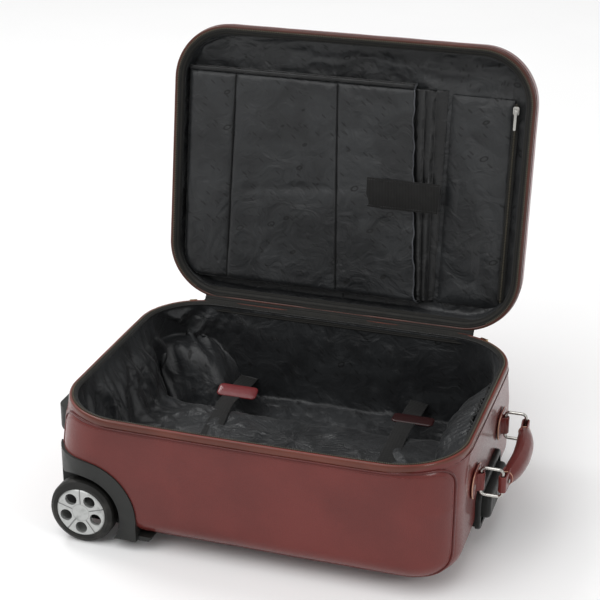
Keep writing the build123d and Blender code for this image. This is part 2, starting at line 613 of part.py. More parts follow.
with BuildLine(level(RING_Z)) as bow:
    ThreePointArc((bow_end_x, -roll_half), (bow_mid_x, 0), (bow_end_x, roll_half))
roll_start = Plane(origin=bow.line @ 0, z_dir=bow.line % 0, x_dir=(0, 0, 1))

with BuildPart() as carry_handle_core:
    with BuildSketch(roll_start):
        Rectangle(CORE_WIDTH, CORE_THICK)
    sweep(path=bow.line)
keep(carry_handle_core.part, "carry_handle_core")

with BuildPart() as core_space:
    with BuildSketch(roll_start):
        Rectangle(CORE_WIDTH + 2 * SKIN_GAP, CORE_THICK + 2 * SKIN_GAP)
    sweep(path=bow.line)

with BuildPart() as carry_grip:
    with BuildSketch(roll_start):
        Circle(HANDLE_RADIUS)
    sweep(path=bow.line)
    for side in (-1, 1):
        with BuildSketch(level(RING_Z - LOOP_HALF, grip_pivot_x, side * RING_Y)):
            Circle(LOOP_RADIUS)
            with Locations((0.5, -side * ROLL_END / 2)):
                Rectangle(2 * LOOP_RADIUS - 3, ROLL_END + 4)
        extrude(amount=2 * LOOP_HALF)
    for side in (-1, 1):
        with BuildSketch(level(RING_Z - RING_HEIGHT, grip_pivot_x, side * RING_Y)):
            Circle(RING_WIRE + LOOP_CLEARANCE)
        extrude(amount=2 * RING_HEIGHT, mode=Mode.SUBTRACT)
    add(core_space.part, mode=Mode.SUBTRACT)
keep(carry_grip.part, "carry_grip")

# ---- inside the tub: straps, leather tabs, side pocket ------------------------------------
STRAP_WIDTH, STRAP_THICK = 25.0, 1.4
STRAP_X = {"left": -122.0, "right": 123.0}
TAB_X = {"left": -116.0, "right": 130.0}
TAB_LENGTH, TAB_WIDTH, TAB_THICK, TAB_Y = 56.0, 20.0, 3.0, 112.0
strap_end_y = BODY_WIDTH / 2 - lining_inset - 2.5
hump_top = HUMP_Z + SKIN_GAP + LINING + GAP + STRAP_THICK / 2
STRAP_FALL, STRAP_LEVEL, STRAP_BEND = 9.0, 0.36, 60.0
STRAP_ROUTE = ((-1, -STRAP_FALL), (-STRAP_LEVEL, 0.0), (STRAP_LEVEL, 0.0), (1, -STRAP_FALL))
slope_share = (TAB_Y / strap_end_y - STRAP_LEVEL) / (1 - STRAP_LEVEL)
tab_z = hump_top - STRAP_FALL * slope_share + STRAP_THICK + GAP
tilt = math.degrees(math.atan2(STRAP_FALL, (1 - STRAP_LEVEL) * strap_end_y))

for name, x in STRAP_X.items():
    with BuildPart() as strap:
        with BuildSketch(across(x - STRAP_WIDTH / 2, 0, hump_top)):
            with BuildLine():
                route = FilletPolyline(*[(s * strap_end_y, dz) for s, dz in STRAP_ROUTE], radius=STRAP_BEND)
            trace(route, line_width=STRAP_THICK)
        extrude(amount=STRAP_WIDTH)
    keep(strap.part, f"strap_{name}")
    tab_plane = level(tab_z, TAB_X[name], TAB_Y).rotated((-tilt, 0, 0))
    with BuildPart() as strap_tab:
        with BuildSketch(tab_plane):
            RectangleRounded(TAB_LENGTH, TAB_WIDTH, TAB_WIDTH / 4)
        extrude(amount=TAB_THICK)
    keep(strap_tab.part, f"strap_tab_{name}")

POCKET_WALL_X = BODY_LENGTH / 2 - lining_inset - 2.0
POCKET_DEPTH, POCKET_SHEET, POCKET_HALF, POCKET_LOW_Z, POCKET_HIGH_Z = 16.0, 2.0, 112.0, 84.0, 152.0
with BuildPart() as side_pocket:
    with BuildSketch(level(POCKET_LOW_Z, POCKET_WALL_X - POCKET_DEPTH / 2)):
        Rectangle(POCKET_DEPTH, 2 * POCKET_HALF)
    extrude(amount=POCKET_HIGH_Z - POCKET_LOW_Z)
    with BuildSketch(level(POCKET_LOW_Z + POCKET_SHEET, POCKET_WALL_X - POCKET_DEPTH / 2 + POCKET_SHEET)):
        Rectangle(POCKET_DEPTH, 2 * (POCKET_HALF - POCKET_SHEET))
    extrude(amount=POCKET_HIGH_Z, mode=Mode.SUBTRACT)
keep(side_pocket.part, "side_pocket")

# ---- lid ----------------------------------------------------------------------------------
LID_BOARD = 3.0
LID_RIM_DROP = 0.8
lid_board_inset = LEATHER + LID_BOARD
lid_lining_inset = lid_board_inset + LINING

with BuildPart() as lid_leather_cover:
    add(lid_block(0, LID_RIM_DROP))
    add(lid_block(LEATHER), mode=Mode.SUBTRACT)
keep(lid_leather_cover.part, "lid_leather_cover")

with BuildPart() as lid_board:
    add(lid_block(LEATHER + SKIN_GAP, 7.0))
    add(lid_block(lid_board_inset), mode=Mode.SUBTRACT)
keep(lid_board.part, "lid_board")

with BuildPart() as lid_lining:
    add(lid_block(lid_board_inset + SKIN_GAP, LID_RIM_DROP))
    add(lid_block(lid_lining_inset), mode=Mode.SUBTRACT)
keep(lid_lining.part, "lid_lining")

with BuildPart() as lid_frame_wire:
    add(rim_wire(lid_plane(-WIRE_DROP), LID_LENGTH, LID_WIDTH, LID_CORNER, LID_MID))
keep(lid_frame_wire.part, "lid_frame_wire")

with BuildPart() as lid_zipper_tape:
    lid_tape_plane = lid_plane(-TAPE_THICK - SKIN_GAP)
    add(tape_ring(lid_tape_plane, LID_LENGTH, LID_WIDTH, LID_CORNER, LID_MID, 0))
keep(lid_zipper_tape.part, "lid_zipper_tape")

LINING_FLOOR = lid_lining_inset - LID_DEPTH + SKIN_GAP


def lid_panel(x_range, v_range, h_range):
    """Closed block in the lid's frame, between two corners."""
    with BuildPart() as panel:
        with BuildSketch(lid_plane(h_range[0])):
            with Locations((sum(x_range) / 2, sum(v_range) / 2)):
                Rectangle(x_range[1] - x_range[0], v_range[1] - v_range[0])
        extrude(amount=h_range[1] - h_range[0])
    return panel.part


ORGANISER_X, ORGANISER_V, ORGANISER_FACE = (-232.0, 96.0), (24.0, 318.0), -13.0
SHEET = 3.0
with BuildPart() as organiser_pocket:
    add(lid_panel(ORGANISER_X, ORGANISER_V, (LINING_FLOOR, ORGANISER_FACE)))
    inner_x = (ORGANISER_X[0] + SHEET, ORGANISER_X[1] + SHEET)
    inner_v = (ORGANISER_V[0] + SHEET, ORGANISER_V[1] - SHEET)
    inner_h = (LINING_FLOOR + SHEET, ORGANISER_FACE - SHEET)
    add(lid_panel(inner_x, inner_v, inner_h), mode=Mode.SUBTRACT)
    add(lid_block(lid_lining_inset + GAP), mode=Mode.INTERSECT)
keep(organiser_pocket.part, "organiser_pocket")

POUCH_X, POUCH_V, POUCH_THICK = (132.0, 222.0), (28.0, 308.0), 7.0
pouch_face = LINING_FLOOR + POUCH_THICK
with BuildPart() as zip_pocket:
    add(lid_panel(POUCH_X, POUCH_V, (LINING_FLOOR, pouch_face)))
    add(lid_block(lid_lining_inset + GAP), mode=Mode.INTERSECT)
keep(zip_pocket.part, "zip_pocket")

ZIP_X, ZIP_V, ZIP_THICK = (213.0, 221.0), (40.0, 304.0), 1.4
zip_face = pouch_face + SKIN_GAP + ZIP_THICK
with BuildPart() as pocket_zipper:
    add(lid_panel(ZIP_X, ZIP_V, (pouch_face + SKIN_GAP, zip_face)))
keep(pocket_zipper.part, "pocket_zipper")

SLIDER_SIZE, SLIDER_V = (8.0, 11.0, 2.0), 296.0
LUG_OFFSET, LUG_HALF_WIDTH, LUG_HALF_LENGTH, LUG_HIGH = 2.6, 0.7, 2.5, 3.0
SLIDER_ROUND = 2.5
slider_x = sum(ZIP_X) / 2
slider_low = zip_face + GAP
with BuildPart() as pocket_slider:
    with BuildSketch(lid_plane(slider_low)):
        with Locations((slider_x, SLIDER_V)):
            RectangleRounded(SLIDER_SIZE[0], SLIDER_SIZE[1], SLIDER_ROUND)
    extrude(amount=SLIDER_SIZE[2])
    lug_low = slider_low + SLIDER_SIZE[2]
    for side in (-1, 1):
        lug_x = slider_x + side * LUG_OFFSET
        add(lid_panel(
            (lug_x - LUG_HALF_WIDTH, lug_x + LUG_HALF_WIDTH),
            (SLIDER_V - LUG_HALF_LENGTH, SLIDER_V + LUG_HALF_LENGTH),
            (lug_low, lug_low + LUG_HIGH),
        ))
keep(pocket_slider.part, "pocket_slider")

PULL_WIDTH, PULL_LENGTH, PULL_THICK, PULL_ROUND = 3.4, 27.0, 1.4, 1.5
PULL_STAND = 4.2                            # underside of the slider to the middle of its pull
PULL_PIN_RADIUS, PULL_PIN_REACH = 0.9, 0.1  # the pin stands out of each side of its pull
pull_high = slider_low + PULL_STAND
with BuildPart() as pocket_pull:
    with BuildSketch(lid_plane(pull_high - PULL_THICK / 2)):
        with Locations((slider_x, SLIDER_V - PULL_LENGTH / 2 + PULL_WIDTH / 2)):
            RectangleRounded(PULL_WIDTH, PULL_LENGTH, PULL_ROUND)
    extrude(amount=PULL_THICK)
    pin_half = PULL_WIDTH / 2 + PULL_PIN_REACH
    pin_start = lid_point(slider_x - pin_half, SLIDER_V, pull_high)
    add(pin(pin_start, (1, 0, 0), 2 * pin_half, PULL_PIN_RADIUS))
keep(pocket_pull.part, "pocket_pull")

TAB_V, TAB_SPAN, TAB_SHEET = (151.0, 193.0), (27.0, 126.0), 2.0
BASE_THICK, BASE_CLEAR = 3.0, 0.5
tab_low = ORGANISER_FACE + GAP
with BuildPart() as velcro_tab:
    add(lid_panel(TAB_SPAN, TAB_V, (tab_low, tab_low + TAB_SHEET)))
    hem_start = lid_point(TAB_SPAN[1], TAB_V[0], tab_low + TAB_SHEET / 2)
    add(pin(hem_start, LID_UP, TAB_V[1] - TAB_V[0], TAB_SHEET / 2))
keep(velcro_tab.part, "velcro_tab")

BASE_X = (TAB_SPAN[1] - BASE_THICK / 2, TAB_SPAN[1] + BASE_THICK / 2)
with BuildPart() as tab_gusset:
    add(lid_panel(BASE_X, TAB_V, (LINING_FLOOR, tab_low - BASE_CLEAR)))
keep(tab_gusset.part, "tab_gusset")

# ---- main zipper sliders and pulls --------------------------------------------------------
SLIDER_PLATE, SLIDER_LUG = (12.0, 8.0, 3.0), (1.2, 4.0, 4.0)
LUG_SPREAD, PULL_HEIGHT, SLIDER_STANDOFF = 2.9, 2.4, 1.6
MAIN_SLIDER_Z, MAIN_SLIDER_ANGLE = 169.0, math.radians(63)
MAIN_PULL_WIDTH, MAIN_PULL_LENGTH, MAIN_PULL_THICK, MAIN_PULL_ROUND = 4.0, 24.0, 1.4, 1.8


def main_slider_plane(side):
    """Plane on the rim's outside at one end of the main zipper: local x along the rim, local y up."""
    normal = Vector(side * math.cos(MAIN_SLIDER_ANGLE), math.sin(MAIN_SLIDER_ANGLE), 0)
    corner = level(MAIN_SLIDER_Z, side * (RIM_LENGTH / 2 - RIM_CORNER), RIM_WIDTH / 2 - RIM_CORNER)
    origin = corner.origin + normal * (RIM_CORNER + SLIDER_STANDOFF)
    return Plane(origin=origin, x_dir=Vector(0, 0, 1).cross(normal), z_dir=normal)


for side, name in ((-1, "left"), (1, "right")):
    plane = main_slider_plane(side)
    with BuildPart() as main_slider:
        with BuildSketch(plane):
            RectangleRounded(SLIDER_PLATE[0], SLIDER_PLATE[1], SLIDER_ROUND)
        extrude(amount=SLIDER_PLATE[2])
        with BuildSketch(plane.offset(SLIDER_PLATE[2])):
            with Locations((-LUG_SPREAD, 0), (LUG_SPREAD, 0)):
                Rectangle(SLIDER_LUG[0], SLIDER_LUG[1])
        extrude(amount=SLIDER_LUG[2])
    keep(main_slider.part, f"zip_slider_{name}")
    with BuildPart() as main_pull:
        with BuildSketch(plane.offset(SLIDER_PLATE[2] + PULL_HEIGHT - MAIN_PULL_THICK / 2)):
            with Locations((0, MAIN_PULL_WIDTH / 2 - MAIN_PULL_LENGTH / 2)):
                RectangleRounded(MAIN_PULL_WIDTH, MAIN_PULL_LENGTH, MAIN_PULL_ROUND)
        extrude(amount=MAIN_PULL_THICK)
        pin_half = MAIN_PULL_WIDTH / 2 + PULL_PIN_REACH
        pin_plane = plane.offset(SLIDER_PLATE[2] + PULL_HEIGHT)
        pin_start = pin_plane.from_local_coords(Vector(-pin_half, 0, 0))
        add(pin(pin_start, plane.x_dir, 2 * pin_half, PULL_PIN_RADIUS))
    keep(main_pull.part, f"zip_pull_{name}")
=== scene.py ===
"""Looks of the rolling laptop case: leather shells, linings, pockets, straps, handle and fittings
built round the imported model. Shapes are worked out in millimetres about the tub's middle."""

import json
import math

import bmesh
import bpy
import numpy as np
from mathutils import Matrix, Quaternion, Vector, noise


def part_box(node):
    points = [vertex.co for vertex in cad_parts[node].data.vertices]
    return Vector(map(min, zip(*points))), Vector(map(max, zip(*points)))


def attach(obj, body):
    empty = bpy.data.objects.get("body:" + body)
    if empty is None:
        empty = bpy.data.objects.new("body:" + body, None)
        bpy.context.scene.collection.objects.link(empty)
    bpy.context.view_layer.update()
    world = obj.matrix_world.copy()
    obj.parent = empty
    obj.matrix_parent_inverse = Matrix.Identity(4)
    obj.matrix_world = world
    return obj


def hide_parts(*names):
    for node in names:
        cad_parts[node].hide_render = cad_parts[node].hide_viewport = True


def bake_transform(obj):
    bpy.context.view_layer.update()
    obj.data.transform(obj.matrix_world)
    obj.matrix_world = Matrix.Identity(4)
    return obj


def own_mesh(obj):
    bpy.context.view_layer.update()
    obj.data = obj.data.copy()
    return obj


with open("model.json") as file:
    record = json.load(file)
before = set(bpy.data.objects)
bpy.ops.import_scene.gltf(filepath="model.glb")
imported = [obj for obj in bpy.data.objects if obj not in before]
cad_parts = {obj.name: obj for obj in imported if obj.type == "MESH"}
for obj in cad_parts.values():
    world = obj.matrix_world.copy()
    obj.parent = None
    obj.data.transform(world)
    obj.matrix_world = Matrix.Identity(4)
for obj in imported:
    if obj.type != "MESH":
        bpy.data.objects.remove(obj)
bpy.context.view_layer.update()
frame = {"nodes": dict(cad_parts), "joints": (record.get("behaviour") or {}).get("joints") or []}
MM = 0.001


def box_mm(node):
    """Lowest and highest corner of a CAD node in millimetres about the tub's middle."""
    low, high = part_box(node)
    return (np.array(low) / MM - MIDDLE, np.array(high) / MM - MIDDLE)


tub_low, tub_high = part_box("tub_leather_cover")
MIDDLE = np.array([(tub_low.x + tub_high.x) / 2, (tub_low.y + tub_high.y) / 2, 0.0]) / MM

# ---- driving dimensions, from the frame ---------------------------------------------------
BODY_LENGTH, BODY_WIDTH, _ = (np.array(tub_high) - np.array(tub_low)) / MM
BOTTOM_Z, RIM_Z = tub_low.z / MM, tub_high.z / MM
RIM_LENGTH, RIM_WIDTH = BODY_LENGTH - 3.0, BODY_WIDTH - 4.0
BODY_CORNER, RIM_CORNER = 60.0, 85.0
SHOULDER_Z, BOTTOM_ROUND = 112.0, 27.0
RIM_BOW = 4.0
WALL = 8.0                                  # leather, board and lining together

lid_joint = next(j for j in frame["joints"] if j["name"] == "lid_hinge")
HINGE = np.array(lid_joint["pos_m"]) / MM - MIDDLE
LEAN = math.radians(lid_joint["range_deg"][1] - 90)
LID_UP = np.array([0.0, math.sin(LEAN), math.cos(LEAN)])
LID_OUT = np.array([0.0, math.cos(LEAN), -math.sin(LEAN)])
LID_LENGTH, LID_WIDTH, LID_CORNER, LID_DEPTH = 490.0, 375.0, 75.0, 42.0
LID_START, LID_ROUND, LID_FLOOR = 2.0, 12.0, -34.9
LID_BOW = (0.0, 0.0)
LID_MID = LID_START + LID_WIDTH / 2

wheel_low, wheel_high = box_mm("wheel_tyre_near")
WHEEL_X, WHEEL_Z = (wheel_low[0] + wheel_high[0]) / 2, (wheel_low[2] + wheel_high[2]) / 2
ARCH_RADIUS, ARCH_TOP_Z, ARCH_INNER_Y = 72.0, 114.0, 148.0
HUMP_TOP = box_mm("tube_cover")[1][2] + 2.5
LONG_STEPS, SHORT_STEPS, ARC_STEPS = 120, 90, 24
LEATHER_THICK, CLOTH_THICK, POCKET_THICK = 2.0, 0.8, 0.9
PIPING_RADIUS, SEAM_RADIUS = 1.5, 0.9
STITCH, STITCH_PITCH = (3.0, 0.7, 0.5), 4.2         # length, width and height of a stitch
SMALL_STITCH, SMALL_PITCH = (2.6, 0.7, 0.5), 3.6
TOOTH_PITCH = 2.5
HINGE_ZIP_END = 205.0           # from the middle of the hinge side to the end of the zipper teeth


# ---- camera -------------------------------------------------------------------------------
def make_camera():
    """Camera at the photograph's angle: a long lens from the front, a little to the right."""
    azimuth, elevation, roll = math.radians(17.65), math.radians(23.44), math.radians(0.32)
    lens = bpy.data.cameras.new("camera")
    lens.lens, lens.sensor_width = 96.0, 36.0
    lens.clip_start, lens.clip_end = 0.05, 50.0
    lens.shift_y = 0.005
    camera = bpy.data.objects.new("camera", lens)
    bpy.context.scene.collection.objects.link(camera)
    back = Vector((
        math.sin(azimuth) * math.cos(elevation), -math.cos(azimuth) * math.cos(elevation),
        math.sin(elevation),
    ))
    camera.location = Vector(MIDDLE * MM) + Vector((0.556, -1.722, 1.055))
    camera.rotation_mode = "QUATERNION"
    camera.rotation_quaternion = (-back).to_track_quat("-Z", "Y") @ Quaternion((0, 0, 1), roll)
    bpy.context.scene.camera = camera


make_camera()


# ---- mesh helpers -------------------------------------------------------------------------
def mesh_piece(name, points, faces, uv, body, finish, replaces=(), slot=None, solid=False):
    """Mesh object from points and uv in millimetres; a solid's faces are turned outwards."""
    data = bpy.data.meshes.new(name)
    data.from_pydata(((np.asarray(points) + MIDDLE) * MM).tolist(), [], [list(map(int, f)) for f in faces])
    data.update()
    if solid:
        shape = bmesh.new()
        shape.from_mesh(data)
        bmesh.ops.recalc_face_normals(shape, faces=shape.faces)
        shape.to_mesh(data)
        shape.free()
    data.polygons.foreach_set("use_smooth", [True] * len(data.polygons))
    corner_points = np.zeros(len(data.loops), np.int32)
    data.loops.foreach_get("vertex_index", corner_points)
    layer = data.uv_layers.new(name="cloth")
    layer.data.foreach_set("uv", (np.asarray(uv) * MM)[corner_points].astype(np.float32).ravel())
    piece = bpy.data.objects.new(name, data)
    bpy.context.scene.collection.objects.link(piece)
    data.materials.append(FINISHES[finish])
    if body:
        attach(piece, body)
    if replaces:
        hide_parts(*replaces)
    return piece


def grid_faces(rows, columns, wrap):
    """Quads over a grid of points, rows by columns; wrap joins the last column to the first."""
    index = np.arange(rows * columns).reshape(rows, columns)
    right = np.roll(index, -1, axis=1) if wrap else index[:, 1:]
    left = index if wrap else index[:, :-1]
    return np.stack([left[:-1], left[1:], right[1:], right[:-1]], -1).reshape(-1, 4)


def grid_normals(points, wrap):
    """Unit normals of a grid surface, towards its outside."""
    if wrap:
        around = np.roll(points, -1, axis=1) - np.roll(points, 1, axis=1)
    else:
        around = np.gradient(points, axis=1)
    down = np.gradient(points, axis=0)
    normal = np.cross(down, around)
    return normal / np.maximum(np.linalg.norm(normal, axis=2, keepdims=True), 1e-9)


def soft_noise(points, cell, seed, stretch=(1.0, 1.0, 1.0)):
    """Smooth noise between -1 and 1 at each point, with features about cell millimetres across."""
    flat = np.asarray(points).reshape(-1, 3) / (np.array(stretch) * cell) + seed * 17.3
    values = np.array([noise.noise(p) for p in flat.tolist()])
    return values.reshape(np.asarray(points).shape[:-1])


def folds(points, cell, seed, stretch=(1.0, 1.0, 1.0)):
    """Rounded ridges with sharp valleys, between -1 and 1, as in gathered cloth."""
    return 1 - 2 * np.clip(2.2 * np.abs(soft_noise(points, cell, seed, stretch)), 0, 1)


def smoothstep(value, low, high):
    """0 below low, 1 above high, and an S curve between."""
    share = np.clip((value - low) / (high - low), 0, 1)
    return share * share * (3 - 2 * share)


def end_caps(rows, columns):
    """Two polygons that close the first and last row of a tube of points."""
    return [list(range(columns)), list(range(rows * columns - 1, (rows - 1) * columns - 1, -1))]


def row_depths(points):
    """Mean distance from the first row of a grid to each of its rows."""
    return np.concatenate([[0], np.cumsum(np.linalg.norm(np.diff(points, axis=0), axis=2).mean(axis=1))])


def relax(points, times):
    """Round off the bends between rows of points, leaving the first two and the last."""
    for _ in range(times):
        points[2:-1] = (points[1:-2] + 2 * points[2:-1] + points[3:]) / 4


def kept_run(kept):
    """Indices of the kept points of a closed line, in order, from where the left-out part ends."""
    start = int(np.argmax(~kept))
    order = np.roll(np.arange(len(kept)), -start)
    return order[kept[order]]


class Skin:
    """A surface of rows of points: t runs down the rows, u along them, both in millimetres."""

    def __init__(self, points, t, u, wrap=True):
        self.points, self.t, self.u, self.wrap = np.array(points, float), np.array(t), np.array(u), wrap
        self.around = self.u[-1] + (self.u[-1] - self.u[-2]) if wrap else None
        self.normals = grid_normals(self.points, wrap)

    def lift(self, amount):
        """Move every point outwards by amount, one value or one per point."""
        self.points = self.points + self.normals * np.asarray(amount)[..., None]
        self.normals = grid_normals(self.points, self.wrap)

    def at(self, u, t, lift=0.0):
        """Points, and outward normals, at the given places on the surface."""
        u = np.mod(u, self.around) if self.wrap else np.clip(u, self.u[0], self.u[-1])
        last = len(self.u) - (1 if self.wrap else 2)
        column = np.clip(np.searchsorted(self.u, u, side="right") - 1, 0, last)
        after = (column + 1) % len(self.u)
        ends = np.append(self.u, self.around) if self.wrap else self.u
        share_u = ((u - ends[column]) / (ends[column + 1] - ends[column]))[:, None]
        row = np.clip(np.searchsorted(self.t, t, side="right") - 1, 0, len(self.t) - 2)
        share_t = ((t - self.t[row]) / (self.t[row + 1] - self.t[row]))[:, None]

        def mixed(field):
            top = field[row, column] * (1 - share_u) + field[row, after] * share_u
            low = field[row + 1, column] * (1 - share_u) + field[row + 1, after] * share_u
            return top * (1 - share_t) + low * share_t

        normal = mixed(self.normals)
        normal = normal / np.linalg.norm(normal, axis=1, keepdims=True)
        return mixed(self.points) + normal * lift, normal

    def piece(self, name, body, finish, drop=None, cap=False, **rest):
        """Mesh of the surface, without the faces whose middle drop() picks; cap closes its last row."""
        rows, columns = self.points.shape[:2]
        faces = grid_faces(rows, columns, self.wrap)
        flat = self.points.reshape(-1, 3)
        if drop is not None:
            faces = faces[~drop(flat[faces].mean(axis=1))]
        used = np.unique(faces)
        renumber = np.zeros(len(flat), int)
        renumber[used] = np.arange(len(used))
        uv = np.stack(np.meshgrid(self.u, self.t), -1).reshape(-1, 2)
        faces = renumber[faces].tolist()
        if cap:
            last_row = np.arange(columns) + (rows - 1) * columns
            faces.append(renumber[last_row][::-1].tolist())
        return mesh_piece(name, flat[used], faces, uv[used], body, finish, **rest)


def thicken(piece, thickness, offset=-1.0):
    """Give a sheet its thickness, in millimetres."""
    solid = piece.modifiers.new("thickness", "SOLIDIFY")
    solid.thickness, solid.offset = thickness * MM, offset
    return piece


def sweep_mesh(path, profile, across, closed):
    """Profile points (along across, along the side) carried along a path. Returns points, faces and uv."""
    path = np.asarray(path, float)
    if closed:
        tangent = np.roll(path, -1, axis=0) - np.roll(path, 1, axis=0)
    else:
        tangent = np.gradient(path, axis=0)
    tangent /= np.maximum(np.linalg.norm(tangent, axis=1, keepdims=True), 1e-9)
    across = np.broadcast_to(np.asarray(across, float), path.shape)
    across = across - tangent * np.sum(across * tangent, axis=1, keepdims=True)
    across /= np.linalg.norm(across, axis=1, keepdims=True)
    side = np.cross(across, tangent)
    profile = np.asarray(profile, float)
    if profile.ndim == 2:
        profile = np.broadcast_to(profile, (len(path),) + profile.shape)
    points = path[:, None] + across[:, None] * profile[..., :1] + side[:, None] * profile[..., 1:]
    rows, columns = points.shape[:2]
    faces = grid_faces(rows, columns, True)
    if closed:
        last, first = (rows - 1) * columns + np.arange(columns), np.arange(columns)
        joint = np.stack([last, first, np.roll(first, -1), np.roll(last, -1)], -1)
        faces = [*faces.tolist(), *joint.tolist()]
    else:
        faces = [*faces.tolist(), *end_caps(rows, columns)]
    step = np.linalg.norm(np.diff(path, axis=0), axis=1)
    length = np.concatenate([[0], np.cumsum(step)])
    girth = np.linspace(0, 1, columns) * np.abs(profile[0]).sum(axis=1).max() * 2
    uv = np.stack(np.meshgrid(girth, length), -1).reshape(-1, 2)
    return points.reshape(-1, 3), faces, uv


def sweep(name, path, profile, across, body, finish, closed=False, **rest):
    """Piece made by carrying a profile along a path."""
    points, faces, uv = sweep_mesh(path, profile, across, closed)
    return mesh_piece(name, points, faces, uv, body, finish, solid=True, **rest)


def join_mesh(parts):
    """Several (points, faces, uv) as one."""
    points, faces, uvs, start = [], [], [], 0
    for part_points, part_faces, part_uv in parts:
        points.append(part_points)
        uvs.append(part_uv)
        faces.extend([[i + start for i in face] for face in part_faces])
        start += len(part_points)
    return np.concatenate(points), faces, np.concatenate(uvs)


def circle(radius, sides=10):
    angle = np.linspace(0, 2 * math.pi, sides, endpoint=False)
    return np.stack([np.cos(angle), np.sin(angle)], -1) * radius


def flat_section(width, thickness, round_steps=3):
    """Section of a strap: a flat oblong with round edges."""
    radius = thickness / 2
    angle = np.linspace(-90, 90, round_steps + 2)
    right = [(width / 2 - radius + radius * math.cos(a), radius * math.sin(a)) for a in np.radians(angle)]
    left = [(-x, -y) for x, y in right]
    return np.array(right + left)


def spaced(path, pitch, closed=False):
    """Points at an even pitch along a path, with their places as fractional indices."""
    path = np.asarray(path)
    if closed:
        path = np.concatenate([path, path[:1]])
    length = np.concatenate([[0], np.cumsum(np.linalg.norm(np.diff(path, axis=0), axis=1))])
    count = max(2, int(length[-1] / pitch))
    return np.interp(np.linspace(0, length[-1], count, endpoint=not closed), length, np.arange(len(path)))


def pick(values, places, closed=False):
    """Values at fractional indices along a path."""
    values = np.asarray(values)
    if closed:
        values = np.concatenate([values, values[:1]])
    low = np.clip(np.floor(places).astype(int), 0, len(values) - 2)
    share = (places - low)[:, None]
    return values[low] * (1 - share) + values[low + 1] * share


def studs(name, path, normals, pitch, size, body, finish, closed=False, sink=0.0, **rest):
    """Row of small rounded blocks along a path, as stitches or teeth. Size: length, width, height."""
    places = spaced(path, pitch, closed)
    middle = pick(path, places, closed)
    up = pick(normals, places, closed)
    ahead = pick(path, np.clip(places + 0.3, 0, None if closed else len(path) - 1), closed) - middle
    behind = middle - pick(path, np.clip(places - 0.3, 0, None), closed)
    tangent = ahead + behind
    tangent /= np.maximum(np.linalg.norm(tangent, axis=1, keepdims=True), 1e-9)
    up = up - tangent * np.sum(up * tangent, axis=1, keepdims=True)
    up /= np.linalg.norm(up, axis=1, keepdims=True)
    side = np.cross(tangent, up)
    long, wide, high = size
    ring = np.array([(-1, 0.0), (-0.72, 0.75), (0.72, 0.75), (1, 0.0)])
    block = []
    for share_x, share_r in ring:
        for a in (45, 135, 225, 315):
            radius = max(share_r, 0.35) * math.sqrt(2)
            block.append((
                share_x * long / 2, radius * math.cos(math.radians(a)) * wide / 2,
                radius * math.sin(math.radians(a)) * high / 2 + high / 2 - sink,
            ))
    block = np.array(block)
    block_faces = [[0, 3, 2, 1], [12, 13, 14, 15]]
    for row in range(3):
        for k in range(4):
            after = (k + 1) % 4
            block_faces.append([row * 4 + k, row * 4 + after, row * 4 + 4 + after, row * 4 + 4 + k])
    points = (
        middle[:, None] + tangent[:, None] * block[None, :, :1]
        + side[:, None] * block[None, :, 1:2] + up[:, None] * block[None, :, 2:]
    ).reshape(-1, 3)
    faces = [[i + 16 * k for i in face] for k in range(len(middle)) for face in block_faces]
    return mesh_piece(name, points, faces, points[:, :2], body, finish, solid=True, **rest)


def outline(length, width, corner, bow=(0.0, 0.0), far_bow=1.0):
    """Rounded rectangle, anticlockwise from the middle of the near side, its sides bowed outwards."""
    reach = np.array([length / 2 - corner, width / 2 - corner])
    arcs = []
    for k, sign in enumerate(((1, -1), (1, 1), (-1, 1), (-1, -1))):
        angle = np.radians(90 * (k - 1) + np.linspace(0, 90, ARC_STEPS + 1))
        arcs.append(reach * sign + corner * np.stack([np.cos(angle), np.sin(angle)], -1))

    def between(a, b, steps):
        return np.linspace(a, b, steps + 1)[1:-1]

    near_middle = np.array([0, -width / 2])
    half_steps = LONG_STEPS // 2
    ring = np.concatenate([
        near_middle[None], between(near_middle, arcs[0][0], half_steps), arcs[0],
        between(arcs[0][-1], arcs[1][0], SHORT_STEPS), arcs[1],
        between(arcs[1][-1], arcs[2][0], LONG_STEPS),
        arcs[2], between(arcs[2][-1], arcs[3][0], SHORT_STEPS), arcs[3],
        between(arcs[3][-1], near_middle, half_steps),
    ])
    x, y = ring[:, 0] * 2 / length, ring[:, 1] * 2 / width
    side_bow = np.where(y > 0, bow[1] * far_bow, bow[1])
    ring[:, 0] += np.sign(x) * bow[0] * (1 - y * y) * x * x
    ring[:, 1] += np.sign(y) * side_bow * (1 - x * x) * y * y
    return ring


def running_length(ring):
    """Distance along a closed ring to each of its points."""
    return np.concatenate([[0], np.cumsum(np.linalg.norm(np.diff(ring, axis=0), axis=1))])


